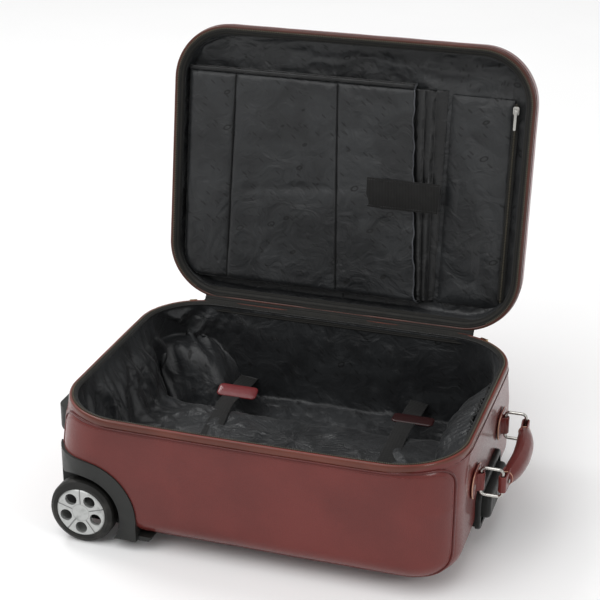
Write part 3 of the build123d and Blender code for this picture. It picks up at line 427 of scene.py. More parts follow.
# ---- material helpers ---------------------------------------------------------------------
class Finish:
    """A node material built up around one Principled shader."""

    def __init__(self, name, **shader):
        self.material = bpy.data.materials.new(name)
        self.material.use_nodes = True
        self.tree = self.material.node_tree
        self.shader = self.tree.nodes["Principled BSDF"]
        for key, value in shader.items():
            self.shader.inputs[key.replace("_", " ")].default_value = value
        coordinates = self.tree.nodes.new("ShaderNodeTexCoord")
        self.place, self.cloth = coordinates.outputs["Object"], coordinates.outputs["UV"]

    def node(self, kind, inputs=(), **settings):
        """Add a node; inputs maps sockets to values or to other nodes' outputs."""
        made = self.tree.nodes.new("ShaderNode" + kind)
        for key, value in settings.items():
            setattr(made, key, value)
        for key, value in dict(inputs).items():
            if isinstance(value, bpy.types.NodeSocket):
                self.tree.links.new(value, made.inputs[key])
            else:
                made.inputs[key].default_value = value
        return made

    def noise(self, scale, detail=3.0, vector=None, distortion=0.0):
        values = {
            "Vector": vector or self.place, "Scale": scale, "Detail": detail, "Distortion": distortion,
        }
        return self.node("TexNoise", values).outputs["Fac"]

    def cells(self, scale, vector=None, feature="F1", output="Distance"):
        values = {"Vector": vector or self.place, "Scale": scale}
        return self.node("TexVoronoi", values, feature=feature).outputs[output]

    def turned(self, vector, angle=(0.0, 0.0, 0.0), scale=(1.0, 1.0, 1.0)):
        """Coordinates turned by angle in degrees, then scaled."""
        rotated = self.node("Mapping", {"Vector": vector, "Rotation": [math.radians(a) for a in angle]})
        return self.node("Mapping", {"Vector": rotated.outputs[0], "Scale": scale}).outputs[0]

    def polar(self, centre):
        """Distance from an axle through centre, and the angle round it."""
        apart = self.node("VectorMath", {0: self.place, 1: centre}, operation="SUBTRACT").outputs[0]
        part = self.node("SeparateXYZ", {0: apart})
        squares = [self.math("POWER", part.outputs[k], 2.0) for k in (0, 2)]
        radius = self.math("SQRT", self.math("ADD", *squares))
        return radius, self.math("ARCTAN2", part.outputs[0], part.outputs[2])

    def math(self, operation, *values):
        made = self.node("Math", operation=operation)
        for slot, value in zip(made.inputs, values):
            if isinstance(value, bpy.types.NodeSocket):
                self.tree.links.new(value, slot)
            else:
                slot.default_value = value
        return made.outputs[0]

    def ramp(self, value, low, high, to=(0.0, 1.0)):
        """Value between low and high, smoothly onto the two ends of to."""
        values = {"Value": value, "From Min": low, "From Max": high, "To Min": to[0], "To Max": to[1]}
        return self.node("MapRange", values, interpolation_type="SMOOTHSTEP").outputs["Result"]

    def blend_colour(self, share, first, second):
        made = self.node("Mix", data_type="RGBA")
        for name, value in (("Factor_Float", share), ("A_Color", first), ("B_Color", second)):
            slot = next(s for s in made.inputs if s.identifier == name)
            if isinstance(value, bpy.types.NodeSocket):
                self.tree.links.new(value, slot)
            else:
                slot.default_value = value if isinstance(value, float) else (*value, 1.0)
        return next(s for s in made.outputs if s.identifier == "Result_Color")

    def finish(self, colour, roughness, height, depth, strength=1.0):
        """Join colour, roughness and surface relief, whose depth is in millimetres."""
        self.tree.links.new(colour, self.shader.inputs["Base Color"])
        self.tree.links.new(roughness, self.shader.inputs["Roughness"])
        bump = self.node("Bump", {"Height": height, "Distance": depth * MM, "Strength": strength})
        self.tree.links.new(bump.outputs[0], self.shader.inputs["Normal"])
        return self.material


def leather(name, dark, light, gloss=0.36):
    """Polished full-grain leather: fine pebbled grain, slow colour drift, edges lightened as a painted
    highlight.
    """
    f = Finish(name, Coat_Weight=0.55, Coat_Roughness=0.13, Coat_IOR=1.36, Specular_IOR_Level=0.2)
    drift = f.ramp(f.noise(11.0, 5.0), 0.32, 0.7)
    pores = f.cells(760.0)
    grain = f.noise(420.0, 2.0)
    creases = f.cells(95.0, f.turned(f.place, (12, 34, 20), (1, 1, 0.55)), "DISTANCE_TO_EDGE")
    crease_line = f.ramp(creases, 0.0, 0.045)
    colour = f.blend_colour(drift, dark, light)
    colour = f.blend_colour(f.ramp(pores, 0.1, 0.55, (0.16, 0.0)), colour, tuple(c * 0.35 for c in dark))
    # Painted highlight: convex edges, found by pointiness, are lightened towards a brighter copy of the
    # light colour.
    edge = f.node("NewGeometry").outputs["Pointiness"]
    colour = f.blend_colour(f.ramp(edge, 0.53, 0.62, (0.0, 0.55)), colour, tuple(c * 1.9 for c in light))
    rough = f.math(
        "ADD", f.ramp(grain, 0.3, 0.7, (gloss - 0.05, gloss + 0.07)), f.math("MULTIPLY", drift, 0.05),
    )
    height = f.math("ADD", f.math("MULTIPLY", pores, 0.55), f.math("MULTIPLY", grain, 0.35))
    height = f.math("ADD", height, f.math("MULTIPLY", crease_line, 0.22))
    return f.finish(colour, rough, height, 0.28, 0.55)


def satin(name, dark, light, pattern=1.0):
    """Black jacquard lining: fine twill, sparse slanting flecks and small seeds woven in."""
    f = Finish(name, Sheen_Weight=0.10, Sheen_Roughness=0.4, Specular_IOR_Level=0.42, Anisotropic=0.3)
    slanted = f.turned(f.cloth, (0, 0, 38), (1.0, 3.4, 1.0))
    fleck = f.ramp(f.cells(44.0, slanted), 0.15, 0.24, (1.0, 0.0))
    leaf = f.cells(21.0, f.turned(f.cloth, (0, 0, -24), (1.0, 1.8, 1.0)))
    motif = f.ramp(f.math("ABSOLUTE", f.math("SUBTRACT", leaf, 0.105)), 0.012, 0.04, (1.0, 0.0))
    woven = f.math("MULTIPLY", f.math("MAXIMUM", f.math("MULTIPLY", fleck, 0.75), motif), pattern)
    twill = f.node("TexWave", {"Vector": f.turned(f.cloth, (0, 0, 45)), "Scale": 520.0}).outputs["Fac"]
    shade = f.ramp(f.noise(16.0, 5.0, distortion=0.8), 0.34, 0.68)
    colour = f.blend_colour(shade, dark, light)
    colour = f.blend_colour(f.math("MULTIPLY", woven, 0.9), colour, tuple(c * 0.12 for c in dark))
    rough = f.math(
        "ADD", f.ramp(woven, 0.0, 1.0, (0.34, 0.6)), f.ramp(f.noise(60.0), 0.3, 0.7, (-0.05, 0.07)),
    )
    crumple = f.noise(30.0, 5.0, distortion=1.6)
    crease = f.ramp(
        f.cells(26.0, f.turned(f.cloth, (0, 0, 15), (1.0, 0.7, 1.0)), "DISTANCE_TO_EDGE"), 0.0, 0.2,
    )
    height = f.math("ADD", f.math("MULTIPLY", crumple, 1.0), f.math("MULTIPLY", twill, 0.02))
    height = f.math("ADD", height, f.math("MULTIPLY", crease, 0.12))
    height = f.math("SUBTRACT", height, f.math("MULTIPLY", woven, 0.03))
    return f.finish(colour, rough, height, 5.0, 0.62)


def ribbed(name, dark, light, pitch=1.6, angle=0.0, rough=0.62):
    """Woven tape or webbing: ribs across, threads along."""
    f = Finish(name, Sheen_Weight=0.06, Specular_IOR_Level=0.22)
    ribs = f.node(
        "TexWave", {"Vector": f.turned(f.cloth, (0, 0, angle)), "Scale": 314.0 / pitch / 2},
        bands_direction="Y",
    )
    threads = f.node(
        "TexWave", {"Vector": f.turned(f.cloth, (0, 0, angle)), "Scale": 640.0}, bands_direction="X",
    )
    worn = f.noise(60.0, 4.0)
    colour = f.blend_colour(f.ramp(ribs.outputs["Fac"], 0.1, 0.9), dark, light)
    colour = f.blend_colour(f.ramp(worn, 0.55, 0.8, (0.0, 0.4)), colour, tuple(c * 1.8 for c in light))
    height = f.math("ADD", ribs.outputs["Fac"], f.math("MULTIPLY", threads.outputs["Fac"], 0.4))
    return f.finish(colour, f.ramp(worn, 0.3, 0.7, (rough - 0.06, rough + 0.1)), height, 0.35, 0.6)


def moulded(name, dark, light, rough=0.42, grain=900.0, depth=0.08):
    """Injection-moulded plastic or rubber: fine spark-eroded texture, scuffs and polished edges."""
    f = Finish(name, Specular_IOR_Level=0.3)
    scuff = f.ramp(f.noise(34.0, 6.0, distortion=0.6), 0.52, 0.74)
    colour = f.blend_colour(scuff, dark, light)
    edge = f.node("NewGeometry").outputs["Pointiness"]
    colour = f.blend_colour(f.ramp(edge, 0.52, 0.6, (0.0, 0.5)), colour, tuple(c * 2.2 for c in light))
    roughness = f.math(
        "ADD", f.ramp(f.noise(90.0, 3.0), 0.3, 0.7, (rough - 0.05, rough + 0.08)),
        f.math("MULTIPLY", scuff, 0.08),
    )
    return f.finish(colour, roughness, f.noise(grain, 2.0), depth, 0.5)


def metal(name, dark, light, rough=0.28, brush=(0, 0, 0), stretch=(1.0, 1.0, 30.0)):
    """Plated or drawn metal: fine brush lines and faint stains."""
    f = Finish(name, Metallic=1.0)
    lines = f.noise(220.0, 2.0, f.turned(f.place, brush, stretch))
    stain = f.ramp(f.noise(75.0, 5.0), 0.4, 0.75)
    colour = f.blend_colour(stain, light, dark)
    roughness = f.math(
        "ADD", f.ramp(lines, 0.3, 0.7, (rough - 0.06, rough + 0.08)), f.math("MULTIPLY", stain, 0.1),
    )
    return f.finish(colour, roughness, lines, 0.03, 0.4)


def hub_paint(name, centre):
    """Silver-painted wheel face: pressed grooves between the holes with painted shade in them, flakes and
    road grime.
    """
    f = Finish(name, Metallic=0.55, Coat_Weight=0.3, Coat_Roughness=0.2)
    radius, angle = f.polar(centre)
    turn = f.math("MULTIPLY", angle, 5 / (2 * math.pi))
    off = f.math("ABSOLUTE", f.math("SUBTRACT", f.math("FRACT", f.math("ADD", turn, 10.5)), 0.5))
    away = f.math("MULTIPLY", f.math("MULTIPLY", off, radius), 2 * math.pi / 5)
    groove = f.math("MULTIPLY", f.ramp(away, 0.0004, 0.0011, (1.0, 0.0)), f.ramp(radius, 0.0105, 0.0125))
    ring = f.ramp(f.math("ABSOLUTE", f.math("SUBTRACT", radius, 0.0112)), 0.0003, 0.0009, (1.0, 0.0))
    pressed = f.math("MAXIMUM", groove, f.math("MULTIPLY", ring, 0.35))
    grime = f.ramp(f.noise(120.0, 6.0), 0.48, 0.8)
    colour = f.blend_colour(grime, (0.46, 0.47, 0.46), (0.30, 0.31, 0.30))
    # Painted shade: the pressed grooves and ring are darkened in colour as well as sunk.
    colour = f.blend_colour(f.math("MULTIPLY", pressed, 0.8), colour, (0.12, 0.12, 0.12))
    height = f.math("SUBTRACT", f.math("MULTIPLY", f.noise(1200.0, 1.0), 0.06), pressed)
    return f.finish(colour, f.ramp(grime, 0.0, 1.0, (0.34, 0.5)), height, 0.6, 0.8)


def tyre_rubber(name, centre):
    """Hard rubber tyre: moulding rings on the side, dust in the texture."""
    f = Finish(name, Specular_IOR_Level=0.25)
    radius = f.polar(centre)[0]
    rings = f.math("SINE", f.math("MULTIPLY", radius, 2600.0))
    dust = f.ramp(f.noise(70.0, 6.0), 0.45, 0.75)
    colour = f.blend_colour(dust, (0.011, 0.011, 0.010), (0.032, 0.031, 0.028))
    height = f.math("ADD", f.math("MULTIPLY", rings, 0.3), f.noise(700.0, 2.0))
    return f.finish(colour, f.ramp(dust, 0.0, 1.0, (0.5, 0.66)), height, 0.12, 0.5)


FINISHES = {
    "leather": leather("red_leather", (0.110, 0.0180, 0.0150), (0.142, 0.0240, 0.0200)),
    "band": leather("band_leather", (0.088, 0.0215, 0.0130), (0.135, 0.0365, 0.0230), 0.32),
    "lid_band": leather("lid_band_leather", (0.040, 0.0120, 0.0075), (0.075, 0.0220, 0.0140), 0.34),
    "piping": leather("piping_leather", (0.062, 0.0100, 0.0090), (0.100, 0.0170, 0.0150), 0.3),
    "cut_edge": leather("cut_leather_edge", (0.36, 0.19, 0.12), (0.50, 0.30, 0.21), 0.6),
    "tab": leather("tab_leather", (0.10, 0.011, 0.013), (0.165, 0.023, 0.026), 0.3),
    # Painted shade: the right strap's tab, the same red leather as the left one, made much darker.
    "dark_tab": leather("dark_tab_leather", (0.022, 0.0050, 0.0052), (0.042, 0.0090, 0.0092), 0.4),
    "thread": ribbed("red_thread", (0.10, 0.022, 0.020), (0.19, 0.05, 0.045), 0.8),
    # Near-black cord for the organiser's seams: a real seam, its colour also paints the shade in the seam
    # valleys.
    "seam": ribbed("seam_cord", (0.0022, 0.0022, 0.0023), (0.0050, 0.0050, 0.0052), 0.8),
    # Painted sheen: a lighter satin for the organiser's mouth binding, standing in for the satin highlight
    # along the mouth.
    "bright_edge": satin("bright_satin_edge", (0.040, 0.042, 0.048), (0.085, 0.088, 0.098), 0.0),
    "black_thread": ribbed("black_thread", (0.012, 0.012, 0.013), (0.05, 0.05, 0.052), 0.8),
    "lining": satin("lining_satin", (0.0105, 0.0112, 0.0122), (0.0215, 0.0230, 0.0245)),
    "plain_lining": satin("gusset_satin", (0.0042, 0.0044, 0.0047), (0.0090, 0.0094, 0.0098), 0.35),
    "webbing": ribbed("black_webbing", (0.0055, 0.0055, 0.0055), (0.0125, 0.0125, 0.012), 2.2),
    "tape": ribbed("zipper_tape_weave", (0.0065, 0.0065, 0.0060), (0.0185, 0.0175, 0.0150), 1.2),
    "teeth": moulded("zipper_teeth", (0.020, 0.018, 0.013), (0.060, 0.052, 0.036), 0.35),
    "velcro": ribbed("loop_tape", (0.0050, 0.0050, 0.0048), (0.0135, 0.0130, 0.0125), 0.9, 30.0, 0.75),
    "plastic": moulded("black_plastic_grain", (0.0055, 0.0060, 0.0056), (0.0130, 0.0135, 0.0125)),
    "button": moulded("button_plastic_grain", (0.040, 0.041, 0.042), (0.07, 0.07, 0.07), 0.35),
    "rubber": moulded("foot_rubber", (0.012, 0.012, 0.012), (0.03, 0.03, 0.029), 0.6, 500.0, 0.12),
    "nickel": metal("nickel_plate", (0.33, 0.32, 0.30), (0.56, 0.55, 0.52), 0.24),
    "brass": metal("brass_plate", (0.30, 0.22, 0.11), (0.55, 0.42, 0.22), 0.26),
    "steel": metal("bright_steel", (0.30, 0.30, 0.30), (0.50, 0.50, 0.49), 0.34),
    "aluminium": metal(
        "drawn_aluminium", (0.42, 0.43, 0.44), (0.62, 0.63, 0.64), 0.3, (0, 0, 0), (1, 30, 30),
    ),
    "board": moulded("fibre_board", (0.13, 0.11, 0.085), (0.20, 0.17, 0.13), 0.8, 260.0, 0.3),
}


def finish_cad_nodes():
    """Give every carried-over CAD node its procedural finish, by the record's material slot."""
    by_slot = {
        "leather": "leather", "stiffener": "board", "lining_fabric": "lining", "webbing": "webbing",
        "zipper_tape": "tape", "black_plastic": "plastic", "rubber_feet": "rubber",
        "button_plastic": "button",
        "steel": "steel", "tube_aluminium": "aluminium", "nickel": "nickel", "brass": "brass",
    }
    for side in ("near", "far"):
        low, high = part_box(f"wheel_tyre_{side}")
        centre = tuple((low + high) / 2)
        FINISHES[f"hub_{side}"] = hub_paint(f"hub_paint_{side}", centre)
        FINISHES[f"tyre_{side}"] = tyre_rubber(f"tyre_rubber_{side}", centre)
    for name, node in frame["nodes"].items():
        side = name.rsplit("_", 1)[-1]
        for slot in node.material_slots:
            kind = slot.material.name.split(".")[0]
            if kind in ("hub_silver", "tyre_rubber"):
                slot.material = FINISHES[("hub_" if kind == "hub_silver" else "tyre_") + side]
            else:
                slot.material = FINISHES[by_slot[kind]]


finish_cad_nodes()


# ---- tub: leather shell -------------------------------------------------------------------
def rim_ring(inset=0.0, bow=RIM_BOW):
    return outline(RIM_LENGTH - 2 * inset, RIM_WIDTH - 2 * inset, RIM_CORNER - inset, (1.0, bow), 0.0)


def body_ring(inset=0.0):
    return outline(BODY_LENGTH - 2 * inset, BODY_WIDTH - 2 * inset, BODY_CORNER - inset)


def at_height(ring, z):
    return np.concatenate([ring, np.full((len(ring), 1), z)], axis=1)


BAND = 10.0                                 # height of the leather band round the rim
PANEL_HALF = 258.0                          # middle of the near side to the corner piping
PANEL_LOW = 155.0                           # rim to the piping under the bottom edge
TUB_U = running_length(body_ring())
TUB_AROUND = TUB_U[-1] + (TUB_U[-1] - TUB_U[-2])


def tub_skin():
    """Outside of the tub from the rim down to the middle of its bottom."""
    rows, depth = [], []
    for z in np.linspace(RIM_Z, SHOULDER_Z, 30, endpoint=False):
        share = (RIM_Z - z) / (RIM_Z - SHOULDER_Z)
        eased = share ** 0.8
        rows.append(at_height(rim_ring() * (1 - eased) + body_ring() * eased, z))
        depth.append(RIM_Z - z)
    for z in np.linspace(SHOULDER_Z, BOTTOM_Z + BOTTOM_ROUND, 20, endpoint=False):
        rows.append(at_height(body_ring(), z))
        depth.append(RIM_Z - z)
    wall = RIM_Z - BOTTOM_Z - BOTTOM_ROUND
    for angle in np.radians(np.linspace(0, 90, 22)):
        inset, z = BOTTOM_ROUND * (1 - math.cos(angle)), BOTTOM_Z + BOTTOM_ROUND * (1 - math.sin(angle))
        rows.append(at_height(body_ring(inset), z))
        depth.append(wall + BOTTOM_ROUND * angle)
    bottom = rows[-1]
    for share in np.linspace(0.95, 0.02, 24):
        rows.append(bottom * np.array([share, share, 1.0]))
        depth.append(depth[len(rows) - 2] + 7.0)
    return Skin(rows, depth, TUB_U)


def panel_distance(u, t, middle):
    """Distance inside the piping of a side panel, negative outside it."""
    across = np.abs((u - middle + TUB_AROUND / 2) % TUB_AROUND - TUB_AROUND / 2)
    corner = np.where(t > (BAND + PANEL_LOW) / 2, 42.0, 25.0)
    half_height = (PANEL_LOW - BAND) / 2
    dx = across - (PANEL_HALF - corner)
    dy = np.abs(t - (BAND + PANEL_LOW) / 2) - (half_height - corner)
    outside = np.hypot(np.maximum(dx, 0), np.maximum(dy, 0)) + np.minimum(np.maximum(dx, dy), 0)
    return corner - outside


def in_wheel_arch(points, margin=3.0):
    """Which points lie behind the wheel housings' outside, inside their edge by margin."""
    x, y, z = points[:, 0] - WHEEL_X, np.abs(points[:, 1]), points[:, 2]
    radius = ARCH_RADIUS - margin
    side = (np.hypot(x, z - WHEEL_Z) < radius) | ((x < 0) & (z < ARCH_TOP_Z - margin))
    side |= (z < WHEEL_Z) & (np.abs(x) < radius)
    return side & (y > ARCH_INNER_Y + margin) & (points[:, 0] < WHEEL_X + radius)


bezel_low, bezel_high = box_mm("handle_bezel")


def in_bezel(points):
    """Which points lie behind the flange of the pull-out handle's bezel."""
    flange = 4.0
    inside_y = np.abs(points[:, 1]) < bezel_high[1] - flange
    inside_z = (points[:, 2] > bezel_low[2] + flange) & (points[:, 2] < bezel_high[2] - flange)
    return inside_y & inside_z & (points[:, 0] > 200)


def panel_loop(middle, steps=16):
    """Closed line of (u, t) round a side panel, where its piping runs."""
    low, high = 42.0, 25.0
    arcs = (
        (PANEL_HALF - low, PANEL_LOW - low, low, 90, 0), (PANEL_HALF - high, BAND + high, high, 0, -90),
        (-PANEL_HALF + high, BAND + high, high, -90, -180),
        (-PANEL_HALF + low, PANEL_LOW - low, low, 180, 90),
    )
    corners = [
        [(u + r * math.cos(a), t + r * math.sin(a)) for a in np.radians(np.linspace(first, last, steps))]
        for u, t, r, first, last in arcs
    ]
    line = np.array([p for corner in corners for p in corner])
    closed = np.concatenate([line, line[:1]])
    length = running_length(closed)
    even = np.linspace(0, length[-1], 420, endpoint=False)
    u = np.interp(even, length, closed[:, 0]) + middle
    return u, np.interp(even, length, closed[:, 1])


def build_tub_shell():
    """Leather cover with its band, piping and stitching."""
    skin = tub_skin()
    u, t = np.meshgrid(skin.u, skin.t)
    puff = np.full(u.shape, 0.0)
    for middle in (0.0, TUB_AROUND / 2):
        inside = panel_distance(u, t, middle)
        puff += np.where(inside > 0, 1.5 * (1 - np.exp(-np.maximum(inside, 0) / 16)), 0)
        puff -= 0.9 * np.exp(-(inside / 2.6) ** 2)
    side_wall = t < PANEL_LOW + 10
    puff += np.where(
        side_wall, 0.55 * soft_noise(skin.points, 70, 1) + 0.25 * soft_noise(skin.points, 26, 2), 0,
    )
    for corner_u, strength in ((-268.0, 1.5), (TUB_AROUND / 2 + 268.0, 1.0), (262.0, 0.5)):
        near = np.abs((u - corner_u + TUB_AROUND / 2) % TUB_AROUND - TUB_AROUND / 2)
        pinch = np.exp(-(near / 17) ** 2) * np.exp(-((t - 20) / 15) ** 2)
        puff += strength * pinch * np.sin(near * 0.75 + t * 0.12)
    puff -= 0.5 * np.exp(-((t - BAND) / 1.8) ** 2)
    skin.lift(puff)
    shell = skin.piece(
        "tub_leather", "case", "leather", drop=lambda p: in_wheel_arch(p) | in_bezel(p), cap=True,
        replaces=("tub_leather_cover",),
    )
    thicken(shell, LEATHER_THICK)
    for name, middle in (("near", 0.0), ("far", TUB_AROUND / 2)):
        loop_u, loop_t = panel_loop(middle)
        line, normal = skin.at(loop_u, loop_t, 0.7)
        seen = ~in_wheel_arch(line, 1.0)
        order = kept_run(seen)
        sweep(f"piping_{name}", line[order], circle(PIPING_RADIUS), normal[order], "case", "piping")
        stitch_line, stitch_normal = skin.at(*inset_line(loop_u, loop_t, middle, 5.0), 0.0)
        order = order[~in_wheel_arch(stitch_line[order], -1.0)]
        studs(
            f"stitching_{name}", stitch_line[order], stitch_normal[order], STITCH_PITCH, STITCH, "case",
            "thread", sink=0.2,
        )
    return shell


def inset_line(loop_u, loop_t, middle, inset):
    """The piping's line moved towards the middle of its panel."""
    centre_t = (BAND + PANEL_LOW) / 2
    share_u = 1 - inset / PANEL_HALF
    share_t = 1 - inset / ((PANEL_LOW - BAND) / 2)
    return (loop_u - middle) * share_u + middle, (loop_t - centre_t) * share_t + centre_t


tub_cover = build_tub_shell()


def normals_of(ring):
    """Outward normals of a flat ring, as three-dimensional vectors."""
    along = np.roll(ring, -1, axis=0) - np.roll(ring, 1, axis=0)
    normal = np.stack([along[:, 1], -along[:, 0], np.zeros(len(ring))], -1)
    return normal / np.linalg.norm(normal, axis=1, keepdims=True)


def build_tub_rim():
    """Band of browner leather over the rim, its seam cord, the zipper tape and its teeth."""
    ring = at_height(rim_ring(), 0.0)
    outward = normals_of(rim_ring())
    band = [
        (-3.2, RIM_Z - 1.4), (-2.2, RIM_Z - 0.2), (-0.6, RIM_Z + 0.1), (0.7, RIM_Z - 0.8),
        (1.5, RIM_Z - 3.0),
        (1.7, RIM_Z - 6.0), (1.2, RIM_Z - BAND + 1.2), (0.5, RIM_Z - BAND - 0.1),
        (-1.4, RIM_Z - BAND - 0.3),
    ]
    wave = 0.35 * soft_noise(ring, 40, 5)
    profile = np.array(band)[None] + np.stack([wave, 0 * wave], -1)[:, None]
    sweep("tub_rim_band", ring, profile, outward, "case", "band", closed=True)
    seam = ring + outward * 1.5 + (0, 0, RIM_Z - BAND - 0.2)
    sweep("tub_band_seam", seam, circle(SEAM_RADIUS, 8), outward, "case", "piping", closed=True)
    tape = [
        (-2.2, RIM_Z - 0.5), (-5.4, RIM_Z - 0.4), (-9.4, RIM_Z - 3.0), (-9.2, RIM_Z - 4.2),
        (-5.4, RIM_Z - 1.6),
        (-2.2, RIM_Z - 1.6),
    ]
    sweep(
        "tub_zip_tape", ring, tape, outward, "case", "tape", closed=True,
        replaces=("tub_zipper_tape",),
    )
    open_part = np.abs(ring[:, 0]) > HINGE_ZIP_END
    open_part |= ring[:, 1] < 0
    order = kept_run(open_part)
    coil = ring[order] - outward[order] * 3.6 + (0, 0, RIM_Z - 0.5)
    up = np.broadcast_to([0.0, 0.0, 1.0], coil.shape)
    studs("tub_zip_teeth", coil, up, TOOTH_PITCH, (1.5, 2.6, 1.2), "case", "teeth")


build_tub_rim()


# ---- tub: lining --------------------------------------------------------------------------
FLOOR_Z = 31.0


def floor_height(x, y):
    """Height of the lining over the tub's floor, the handle tubes and the wheel housings."""
    side = np.abs(y)
    crown = 3.0 * np.exp(-((y / 45) ** 2))
    hump = (HUMP_TOP - FLOOR_Z + crown) * smoothstep(-side, -112.0, -56.0)
    arch = np.sqrt(np.clip((ARCH_RADIUS + 5) ** 2 - np.clip(x - WHEEL_X, 0, None) ** 2, 0, None))
    well_top = WHEEL_Z + arch - FLOOR_Z
    past = smoothstep(-(x - WHEEL_X), -ARCH_RADIUS - 34, -ARCH_RADIUS + 2)
    well = np.clip(well_top, 14.0, None) * smoothstep(side, ARCH_INNER_Y - 48, ARCH_INNER_Y - 4) * past
    return FLOOR_Z + np.maximum(hump, well) + 6.0 * smoothstep(side, 100, 170) * (1 - past)


def lining_rows():
    """Rows of points of the tub's lining, from its top edge down the walls and in to the middle."""
    top = rim_ring(WALL + 1.0)
    foot = body_ring(WALL + 2.0)
    slant = 34.0 * smoothstep(-foot[:, 0], 150, 240) * smoothstep(-np.abs(foot[:, 1]), -150, -60)
    foot = foot + np.stack([slant, 0 * slant], -1)
    foot_z = floor_height(foot[:, 0], foot[:, 1]) + 2.0
    rows = []
    for share in np.linspace(0, 1, 34):
        ring = top * (1 - share) + foot * share
        z = (RIM_Z - 2.5) * (1 - share) + foot_z * share
        rows.append(np.concatenate([ring, z[:, None]], axis=1))
    for share in np.linspace(0, 1, 76)[1:]:
        ring = foot * (1 - 0.985 * share)
        z = floor_height(ring[:, 0], ring[:, 1]) + 2.0 * (1 - share)
        rows.append(np.concatenate([ring, z[:, None]], axis=1))
    points = np.array(rows)
    relax(points, 8)
    return points


def build_tub_lining():
    """Satin lining, loosely gathered on the wheel end and slack over the floor."""
    points = lining_rows()
    skin = Skin(points, row_depths(points), TUB_U)
    u, t = np.meshgrid(skin.u, skin.t)
    x, y = points[..., 0], points[..., 1]
    wall = smoothstep(-t, -170, -110)
    gathered = smoothstep(-x, 120, 225)
    corner = smoothstep(np.abs(x), 170, 225) * smoothstep(np.abs(y), 95, 150)
    reach = smoothstep(t, 3, 45)
    along = np.stack([u, t, 0 * u], -1)
    pleats = folds(along, 30, 3, (1.0, 4.5, 1.0)) + 0.5 * folds(along, 14, 4, (1.0, 5.0, 1.0))
    slack = folds(points, 62, 6) + 0.45 * folds(points, 27, 7)
    lift = -pleats * reach * (5.2 * gathered + 2.6 * corner + 0.9) * wall
    lift -= slack * smoothstep(t, 30, 100) * (2.4 * (1 - wall) + 1.2 * wall)
    lift -= 3.0 * reach * smoothstep(-t, -150, -90)
    skin.lift(np.minimum(lift, 0.6))
    lining = skin.piece(
        "tub_lining_cloth", "case", "lining", drop=in_bezel, cap=True, replaces=("tub_lining",),
    )
    return thicken(lining, CLOTH_THICK, 1.0)


tub_cloth = build_tub_lining()


# ---- inside the tub: straps, tabs, side pocket ----------------------------------------------
def plate(name, origin, x_axis, y_axis, size, corner, thick, crown, body, finish, edge=0.8, **rest):
    """Soft-edged flat piece with a crowned top. Returns its stitching line and normals."""
    x_axis, y_axis = np.array(x_axis, float), np.array(y_axis, float)
    normal = np.cross(x_axis, y_axis)
    steps = 9
    ring = []
    for k, sign in enumerate(((1, -1), (1, 1), (-1, 1), (-1, -1))):
        angle = np.radians(90 * (k - 1) + np.linspace(0, 90, steps))
        middle = (np.array(size) / 2 - corner) * sign
        ring.append(middle + corner * np.stack([np.cos(angle), np.sin(angle)], -1))
    ring = np.concatenate(ring)
    half = min(size) / 2
    shape = [
        (half * 0.98, 0.0), (half * 0.5, 0.0), (edge, 0.0), (0.0, edge), (0.0, thick - edge),
        (edge, thick),
    ]
    shape += [(half * s, thick + crown * (1 - (1 - s) ** 2)) for s in (0.25, 0.45, 0.7, 0.98)]
    rows = []
    for inset, height in shape:
        scale = 1 - inset / (np.array(size) / 2)
        flat = ring * scale
        rows.append(np.array(origin) + flat[:, :1] * x_axis + flat[:, 1:] * y_axis + normal * height)
    rows = np.array(rows)
    faces = grid_faces(len(rows), len(ring), True)
    uv = np.concatenate([ring * (1 - s / half) for s, _ in shape])
    faces = [*faces.tolist(), *end_caps(len(rows), len(ring))]
    mesh_piece(name, rows.reshape(-1, 3), faces, uv, body, finish, solid=True, **rest)
    stitch = ring * (1 - 3.0 / (np.array(size) / 2))
    line = np.array(origin) + stitch[:, :1] * x_axis + stitch[:, 1:] * y_axis + normal * (thick + 0.1)
    return line, np.broadcast_to(normal, line.shape)


STRAP_WIDTH = 25.0


def build_straps():
    """Two packing straps over the hump, each under a leather tab near the hinge side."""
    for side, sway in (("left", 13.0), ("right", 4.0)):
        low, high = box_mm(f"strap_{side}")
        middle_x = (low[0] + high[0]) / 2
        y = np.linspace(low[1] + 1.0, high[1] - 1.0, 90)
        x = middle_x + sway * smoothstep(-y, -95, 25)
        fall = (high[2] - low[2] - 1.4) * smoothstep(np.abs(y), 66, 182)
        z = high[2] + 2.6 - fall + 0.8 * np.sin(y / 21.0)
        twist = 0.16 * np.sin(y / 34.0)
        across = np.stack([np.cos(twist), 0.12 * np.sin(y / 50), np.sin(twist)], -1)
        path = np.stack([x, y, z], -1)
        sweep(
            f"webbing_{side}", path, flat_section(STRAP_WIDTH, 1.3), across, "case", "webbing",
            replaces=(f"strap_{side}",),
        )
        for k, offset in enumerate((-10.8, 10.8)):
            edge = path + across * offset + (0, 0, 0.62)
            up = np.broadcast_to([0.0, 0.0, 1.0], edge.shape)
            studs(
                f"webbing_stitch_{side}_{k}", edge, up, 3.4, (2.3, 0.5, 0.35), "case", "black_thread",
            )
        tab_low, tab_high = box_mm(f"strap_tab_{side}")
        centre = (tab_low + tab_high) / 2
        tilt = math.radians(24.0 if side == "left" else 4.0)
        y_axis = np.array([0.0, math.cos(tilt), math.sin(tilt)])
        # The right tab takes the much darker copy of the tab leather: painted shade.
        line, up = plate(
            f"leather_tab_{side}", centre + (0, 0, 10.5 * math.sin(tilt) - 0.2), (1, 0, 0), y_axis,
            (56.0, 21.0), 6.0, 2.6, 1.0, "case",
            "tab" if side == "left" else "dark_tab", replaces=(f"strap_tab_{side}",),
        )
        studs(
            f"tab_stitching_{side}", line, up, 3.4, (2.4, 0.6, 0.5), "case", "thread", closed=True,
            sink=0.15,
        )


build_straps()


